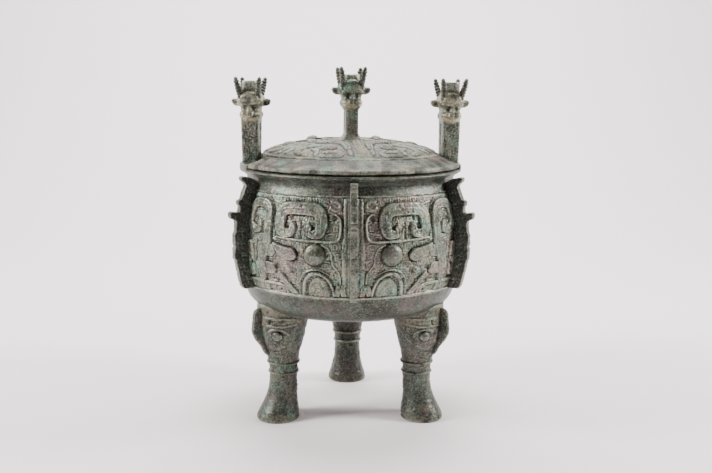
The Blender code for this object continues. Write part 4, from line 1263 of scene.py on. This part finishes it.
def build_ears():
    made = []
    for k, side in enumerate((-1, 1)):
        size = (KEY_TOP, 6.7, 7.4, 9.0)
        foot = ((KEY_TOP - 4.2, 6.7, 9.0),)
        made.append(build_post(("ear_left", "ear_right")[k], side * (EAR_X + 0.2), side * EAR_TURN, EAR_CHIN, foot,
                               size, 31.6, "vessel", 5 + k))
    heads = [(side * (EAR_X + 0.6), side * EAR_TURN, EAR_CHIN, 18.2, 34.6) for side in (-1, 1)]
    made.append(build_horns("ear_horns", heads, "vessel", 15))
    keys = remeshed("rim_shelves", [key_solid(side) for side in (-1, 1)], 0.9 * MM)
    relaxed(keys, 1)
    corroded(keys, 0.22, 33)
    finish_mesh(keys, 80)
    wear(keys, 0.45)
    hand_over(keys, finish_of("bronze_plain", 0.0), "vessel")
    made.append(keys)
    return made


# Lid


def lid_height(az, r, eye_rise):
    """Relief of half a lid mask at an angle from its centre line and a distance from the axis."""
    rim = np.exp(-(((r - 72.6) / 0.7) ** 2)) * 0.5 - np.exp(-(((r - 74.2) / 0.6) ** 2)) * 0.3
    r = r * 0.9
    x, y = r * np.sin(az * DEG), r * np.cos(az * DEG)
    ground = ease((r - 13) / 2) * ease((64 - r) / 1)
    h = -0.28 * leiwen(az * DEG * r, r - 12, 1.9) * ground

    def line_of(path):
        return catmull([(rr * math.sin(a * DEG), rr * math.cos(a * DEG), w) for a, rr, w in path])

    def paint(path, level, lines=()):
        nonlocal h
        s = within(line_of(path), x, y)
        cover = ease((s + 0.3) / 0.65)
        h = h - 0.45 * ease((s + 1.3) / 0.6) * (1 - cover)
        value = level - 0.22 * ease(1 - s / 1.2)
        for at in lines:
            value = value - 0.5 * np.exp(-(((s - at) / 0.36) ** 2))
        h = h * (1 - cover) + value * cover

    def carve(path, depth, line=None):
        nonlocal h
        h = h - depth * ease((within(line_of(path) if line is None else line, x, y) + 0.3) / 0.6)

    paint(((25.6, 56.2, 1.5), (20, 55.6, 1.8), (15.4, 56.2, 2.0), (14, 59, 2.0), (17, 61.8, 1.8), (25.6, 61.8, 1.5)),
          1.6, (1.1,))
    paint(((9.5, 48, 1.8), (11.4, 40, 2.2), (16, 33.4, 2.6), (30, 29.2, 2.7), (44, 30.4, 2.6), (54, 32.6, 1.8)),
          1.7, (1.4,))
    paint(((40, 40.6, 1.5), (46, 45, 2.6), (50, 52, 2.4), (46, 59, 1.9), (38, 61, 1.4)), 1.6, (1.3,))
    paint(((56, 40, 1.4), (57, 50, 2.0), (56.6, 60, 1.7)), 1.5)
    paint(((7.5, 59, 1.3), (8.6, 52, 1.5)), 1.4)
    paint(((31, 60.6, 1.2), (33, 54.6, 1.6), (38, 52, 1.3)), 1.4)
    paint(((24, 20, 1.8), (46, 19.5, 1.8)), 1.1)
    ex, ey = 46 * math.sin(27 * DEG), 46 * math.cos(27 * DEG)
    d = np.hypot(x - ex, y - ey) / 5.5
    h = np.where(d < 1.25, h - 0.6 * ease((1.25 - d) / 0.22), h)
    h = np.where(d < 1, np.maximum(h, eye_rise * np.sqrt(np.clip(1 - d**2.2, 0, 1))), h)
    carve(((3.6, 24, 0.2), (3.2, 44, 0.2), (3.0, 62, 0.2)), 0.5)
    carve(None, 0.6, spiral_path(61 * math.sin(24 * DEG), 58.9 * math.cos(24 * DEG), 2.0, 1.0, 0, 1, 0.22))
    return 0.72 * h * ease((64.4 - r) / 0.8) + rim


def build_lid():
    count = 510
    grow = np.concatenate([[5.0], np.arange(9.0, 76.0, 0.62), np.arange(76.8, 87.0, 1.2)])
    dome = catmull([(r, z, 0) for r, z in LID_DOME], 8)
    top = [(r, float(np.interp(r, dome[:, 0], dome[:, 1]))) for r in grow]
    edge = [(87.6, 207.4), (88.5, 206.95), (89, 206.1)]
    loop = top + edge + [tuple(p) for p in LID_UNDER]
    az = np.linspace(0, 360, count, endpoint=False)
    local = np.abs((az - LID_TURN + 60) % 120 - 60)
    eye_rise = 3.0 + 4.0 * ease((-np.cos(az * DEG) - 0.4) / 0.3)
    rings = []
    for k, (r, z) in enumerate(loop):
        rr = np.full(count, r)
        rise = lid_height(local, rr, eye_rise) if k < len(top) else np.zeros(count)
        rings.append(np.stack([rr * np.sin(az * DEG), -rr * np.cos(az * DEG), z + rise], 1))
    verts = np.concatenate(rings)
    n = count
    faces = skin(len(rings), n)
    crown, under = len(verts), len(verts) + 1
    verts = np.vstack([verts, [0, 0, 225.6], [0, 0, 221.3]])
    faces += [(crown, (j + 1) % n, j) for j in range(n)]
    last = (len(rings) - 1) * n
    faces += [(under, last + j, last + (j + 1) % n) for j in range(n)]
    obj = mesh_object("lid_dome", verts * MM, faces)
    turn_outward(obj)
    corroded(obj, 0.34 * ease((verts[:, 2] - 204) / 1.5), 55)
    cuts = []
    for side in (-1, 1):
        a = (side * 90.0 + LID_TURN) * DEG
        ring = [(NOTCH_INNER, NOTCH_HALF), (NOTCH_INNER, -NOTCH_HALF), (99, -NOTCH_HALF), (99, NOTCH_HALF)]
        corners = [(r * math.sin(a) + q * math.cos(a), q * math.sin(a) - r * math.cos(a)) for r, q in ring]
        cuts.append(loft([[(px, py, z) for px, py in corners] for z in (190, 232)]))
    notches, faces = joined(cuts)
    tool = mesh_object("lid_notches", notches * MM, faces)
    turn_outward(tool)
    mod = obj.modifiers.new("Notches", "BOOLEAN")
    mod.operation = "DIFFERENCE"
    mod.solver = "EXACT"
    mod.object = tool
    keep_result(obj, mod)
    bpy.data.objects.remove(tool, do_unlink=True)
    finish_mesh(obj, 75)
    co = points_of(obj) / MM
    r = np.hypot(co[:, 0], co[:, 1])
    mottled = ease((r - 62) / 8) * (0.35 + 0.65 * ease((noise(co / 6.0, 61) - 0.35) / 0.3))
    edge = np.exp(-(((r - 88.4) / 0.6) ** 2)) + 0.8 * np.exp(-(((r - 72.6) / 0.6) ** 2)) * ease(
        (noise(co / 16.0, 67) - 0.4) / 0.2)
    earthy = 0.7 * np.exp(-(((r - 13.5) / 1.6) ** 2)) + 0.5 * ease((noise(co / 9.0, 69) - 0.6) / 0.15)
    wear(obj, dark_patina_and_shade=0.6 * mottled, rub_and_light=0.8 * edge * ease((co[:, 2] - 205) / 1), soil=earthy)
    mat = finish_of("bronze_lid", 3.1, warmth=0.9, blue=0.9, earth=0.7, rubbing=0.6, shade=0.72, metal=0.15)
    hand_over(obj, mat, "lid")

    nose = ((22, 221), (61, 214.6), (64.4, 214.6), (64.8, 217.0), (62.8, 218.8), (58, 219.8), (52, 221.0),
            (40, 223.8), (30, 225.6), (22, 226.2))
    noses = remeshed("lid_noses", [slab(nose, 5.2, "x")], 0.62 * MM)
    relaxed(noses, 2)
    noses.data.transform(Matrix.Rotation(LID_TURN * DEG, 4, "Z"))
    run_tree(noses, group_of("Ring Repeat", repeat_tree), {"Count": 3, "Material": mat})
    corroded(noses, 0.22, 59)
    finish_mesh(noses, 80)
    wear(noses, 0.45, soil=0.5)
    hand_over(noses, mat, "lid")
    return [obj, noses]


def build_knob():
    foot = ((223, 9.4, 11.6), (225.4, 9.0, 11.2), (226.8, 7.4, 9.6), (228.4, 6.1, 8.2), (230, 5.5, 7.6))
    post = build_post("knob", 0.0, LID_TURN, KNOB_CHIN, foot, (231.0, 5.4, 5.4, 7.5), 27.6, "lid", 8)
    horns = build_horns("knob_horns", [(0.0, LID_TURN, KNOB_CHIN, 15.8, 33.4)], "lid", 25)
    return [post, horns]


# Studio


def build_studio():
    look = bpy.context.scene.ding_studio
    scene = bpy.context.scene
    path = [(-1.9, 0.0), (0.55, 0.0)]
    path += [(0.55 + 0.5 * math.sin(t), 0.5 - 0.5 * math.cos(t)) for t in np.linspace(0.1, math.pi / 2, 14)]
    path += [(1.05, 2.4)]
    verts = [(x, y, z) for y, z in path for x in (-2.2, 2.2)]
    faces = [(2 * i, 2 * i + 1, 2 * i + 3, 2 * i + 2) for i in range(len(path) - 1)]
    floor = mesh_object("studio_floor", np.array(verts), faces)
    floor.data.shade_smooth()
    mat = bpy.data.materials.new("studio_paper")
    mat.use_nodes = True
    shader = mat.node_tree.nodes["Principled BSDF"]
    shader.inputs["Base Color"].default_value = look.floor
    shader.inputs["Roughness"].default_value = 0.9
    shader.inputs["Specular IOR Level"].default_value = 0.1
    floor.data.materials.append(mat)

    world = bpy.data.worlds.new("studio_world")
    scene.world = world
    world.use_nodes = True
    sky = world.node_tree.nodes.get("Background") or world.node_tree.nodes.new("ShaderNodeBackground")
    out = world.node_tree.nodes.get("World Output") or world.node_tree.nodes.new("ShaderNodeOutputWorld")
    world.node_tree.links.new(sky.outputs[0], out.inputs[0])
    sky.inputs[0].default_value = (1.0, 0.975, 0.98, 1)
    sky.inputs[1].default_value = 0.08 * look.power

    for name, place, aim, size, power in (
        ("left", (-1.12, -0.25, 0.78), (0, 0, 0.12), 0.32, 24.0),
        ("right", (1.12, -0.10, 0.76), (0, 0, 0.12), 0.32, 22.0),
        ("top", (0.02, 0.20, 1.40), (0, 0.0, 0.12), 0.42, 11.0),
        ("backdrop", (0.0, 0.50, 1.30), (0, 1.05, 0.75), 0.9, 34.0),
    ):
        light = bpy.data.lights.new("studio_" + name, "AREA")
        light.size = size
        light.energy = power * look.power
        light.color = (1.0, 0.985, 0.97)
        lamp = bpy.data.objects.new("studio_" + name, light)
        lamp.location = place
        lamp.rotation_euler = (Vector(aim) - Vector(place)).to_track_quat("-Z", "Y").to_euler()
        scene.collection.objects.link(lamp)

    camera = bpy.data.cameras.new("camera")
    camera.lens = look.lens
    camera.sensor_width = 36
    camera.clip_end = 20
    eye = bpy.data.objects.new("camera", camera)
    scene.collection.objects.link(eye)
    turn = Matrix.Rotation(CAMERA_TURN * DEG, 4, "Z")
    place = Matrix.Translation(Vector(CAMERA_PLACE) * MM)
    pose = place @ Matrix.Rotation(math.pi / 2 - CAMERA_PITCH, 4, "X")
    eye.matrix_world = turn @ pose @ Matrix.Rotation(CAMERA_ROLL, 4, "Z")
    scene.camera = eye
    return [floor]


# Operators and panel


class DING_OT_bowl(bpy.types.Operator):
    """Turns the plain bowl, rim and inside"""

    bl_idname = "ding.bowl"
    bl_label = "Build Bowl"
    bl_options = {"REGISTER", "UNDO"}

    def execute(self, context):
        build_bowl()
        return {"FINISHED"}


class DING_OT_band(bpy.types.Operator):
    """Carves the three masks of the band"""

    bl_idname = "ding.band"
    bl_label = "Build Band"
    bl_options = {"REGISTER", "UNDO"}

    def execute(self, context):
        build_band()
        return {"FINISHED"}


class DING_OT_flanges(bpy.types.Operator):
    """Builds the six hooked flanges"""

    bl_idname = "ding.flanges"
    bl_label = "Build Flanges"
    bl_options = {"REGISTER", "UNDO"}

    def execute(self, context):
        build_flanges()
        return {"FINISHED"}


class DING_OT_legs(bpy.types.Operator):
    """Builds the three legs with their masks and rings"""

    bl_idname = "ding.legs"
    bl_label = "Build Legs"
    bl_options = {"REGISTER", "UNDO"}

    def execute(self, context):
        build_legs()
        return {"FINISHED"}


class DING_OT_ears(bpy.types.Operator):
    """Builds the two ear posts with their heads and shelves"""

    bl_idname = "ding.ears"
    bl_label = "Build Ears"
    bl_options = {"REGISTER", "UNDO"}

    def execute(self, context):
        build_ears()
        return {"FINISHED"}


class DING_OT_lid(bpy.types.Operator):
    """Builds the carved lid with its notches"""

    bl_idname = "ding.lid"
    bl_label = "Build Lid"
    bl_options = {"REGISTER", "UNDO"}

    def execute(self, context):
        build_lid()
        return {"FINISHED"}


class DING_OT_knob(bpy.types.Operator):
    """Builds the lid's knob post and head"""

    bl_idname = "ding.knob"
    bl_label = "Build Knob"
    bl_options = {"REGISTER", "UNDO"}

    def execute(self, context):
        build_knob()
        return {"FINISHED"}


class DING_OT_studio(bpy.types.Operator):
    """Sets the floor, lights and camera"""

    bl_idname = "ding.studio"
    bl_label = "Build Studio"
    bl_options = {"REGISTER", "UNDO"}

    def execute(self, context):
        build_studio()
        return {"FINISHED"}


OPERATORS = (
    DING_OT_bowl, DING_OT_band, DING_OT_flanges, DING_OT_legs, DING_OT_ears, DING_OT_lid, DING_OT_knob,
    DING_OT_studio,
)


class DING_PT_panel(bpy.types.Panel):
    """Lists the vessel's builders and settings."""

    bl_idname = "DING_PT_panel"
    bl_label = "Bronze Ding Vessel"
    bl_space_type = "VIEW_3D"
    bl_region_type = "UI"
    bl_category = "Ding"

    def draw(self, context):
        for cls in OPERATORS:
            self.layout.operator(cls.bl_idname)
        for name in SETTINGS:
            box = self.layout.box()
            group = getattr(context.scene, name)
            for prop in group.bl_rna.properties:
                if prop.identifier not in ("rna_type", "name"):
                    box.prop(group, prop.identifier)


SETTINGS = {
    "ding_band": DingBand, "ding_horn": DingHorn, "ding_casting": DingCasting, "ding_patina": DingPatina,
    "ding_studio": DingStudio,
}


def register():
    for cls in (*SETTINGS.values(), *OPERATORS, DING_PT_panel):
        bpy.utils.register_class(cls)
    for name, cls in SETTINGS.items():
        setattr(bpy.types.Scene, name, bpy.props.PointerProperty(type=cls))


def unregister():
    for name in SETTINGS:
        delattr(bpy.types.Scene, name)
    for cls in reversed((*SETTINGS.values(), *OPERATORS, DING_PT_panel)):
        bpy.utils.unregister_class(cls)


def main():
    register()
    for cls in OPERATORS:
        getattr(bpy.ops.ding, cls.bl_idname.split(".")[1])()


if __name__ == "__main__":
    main()
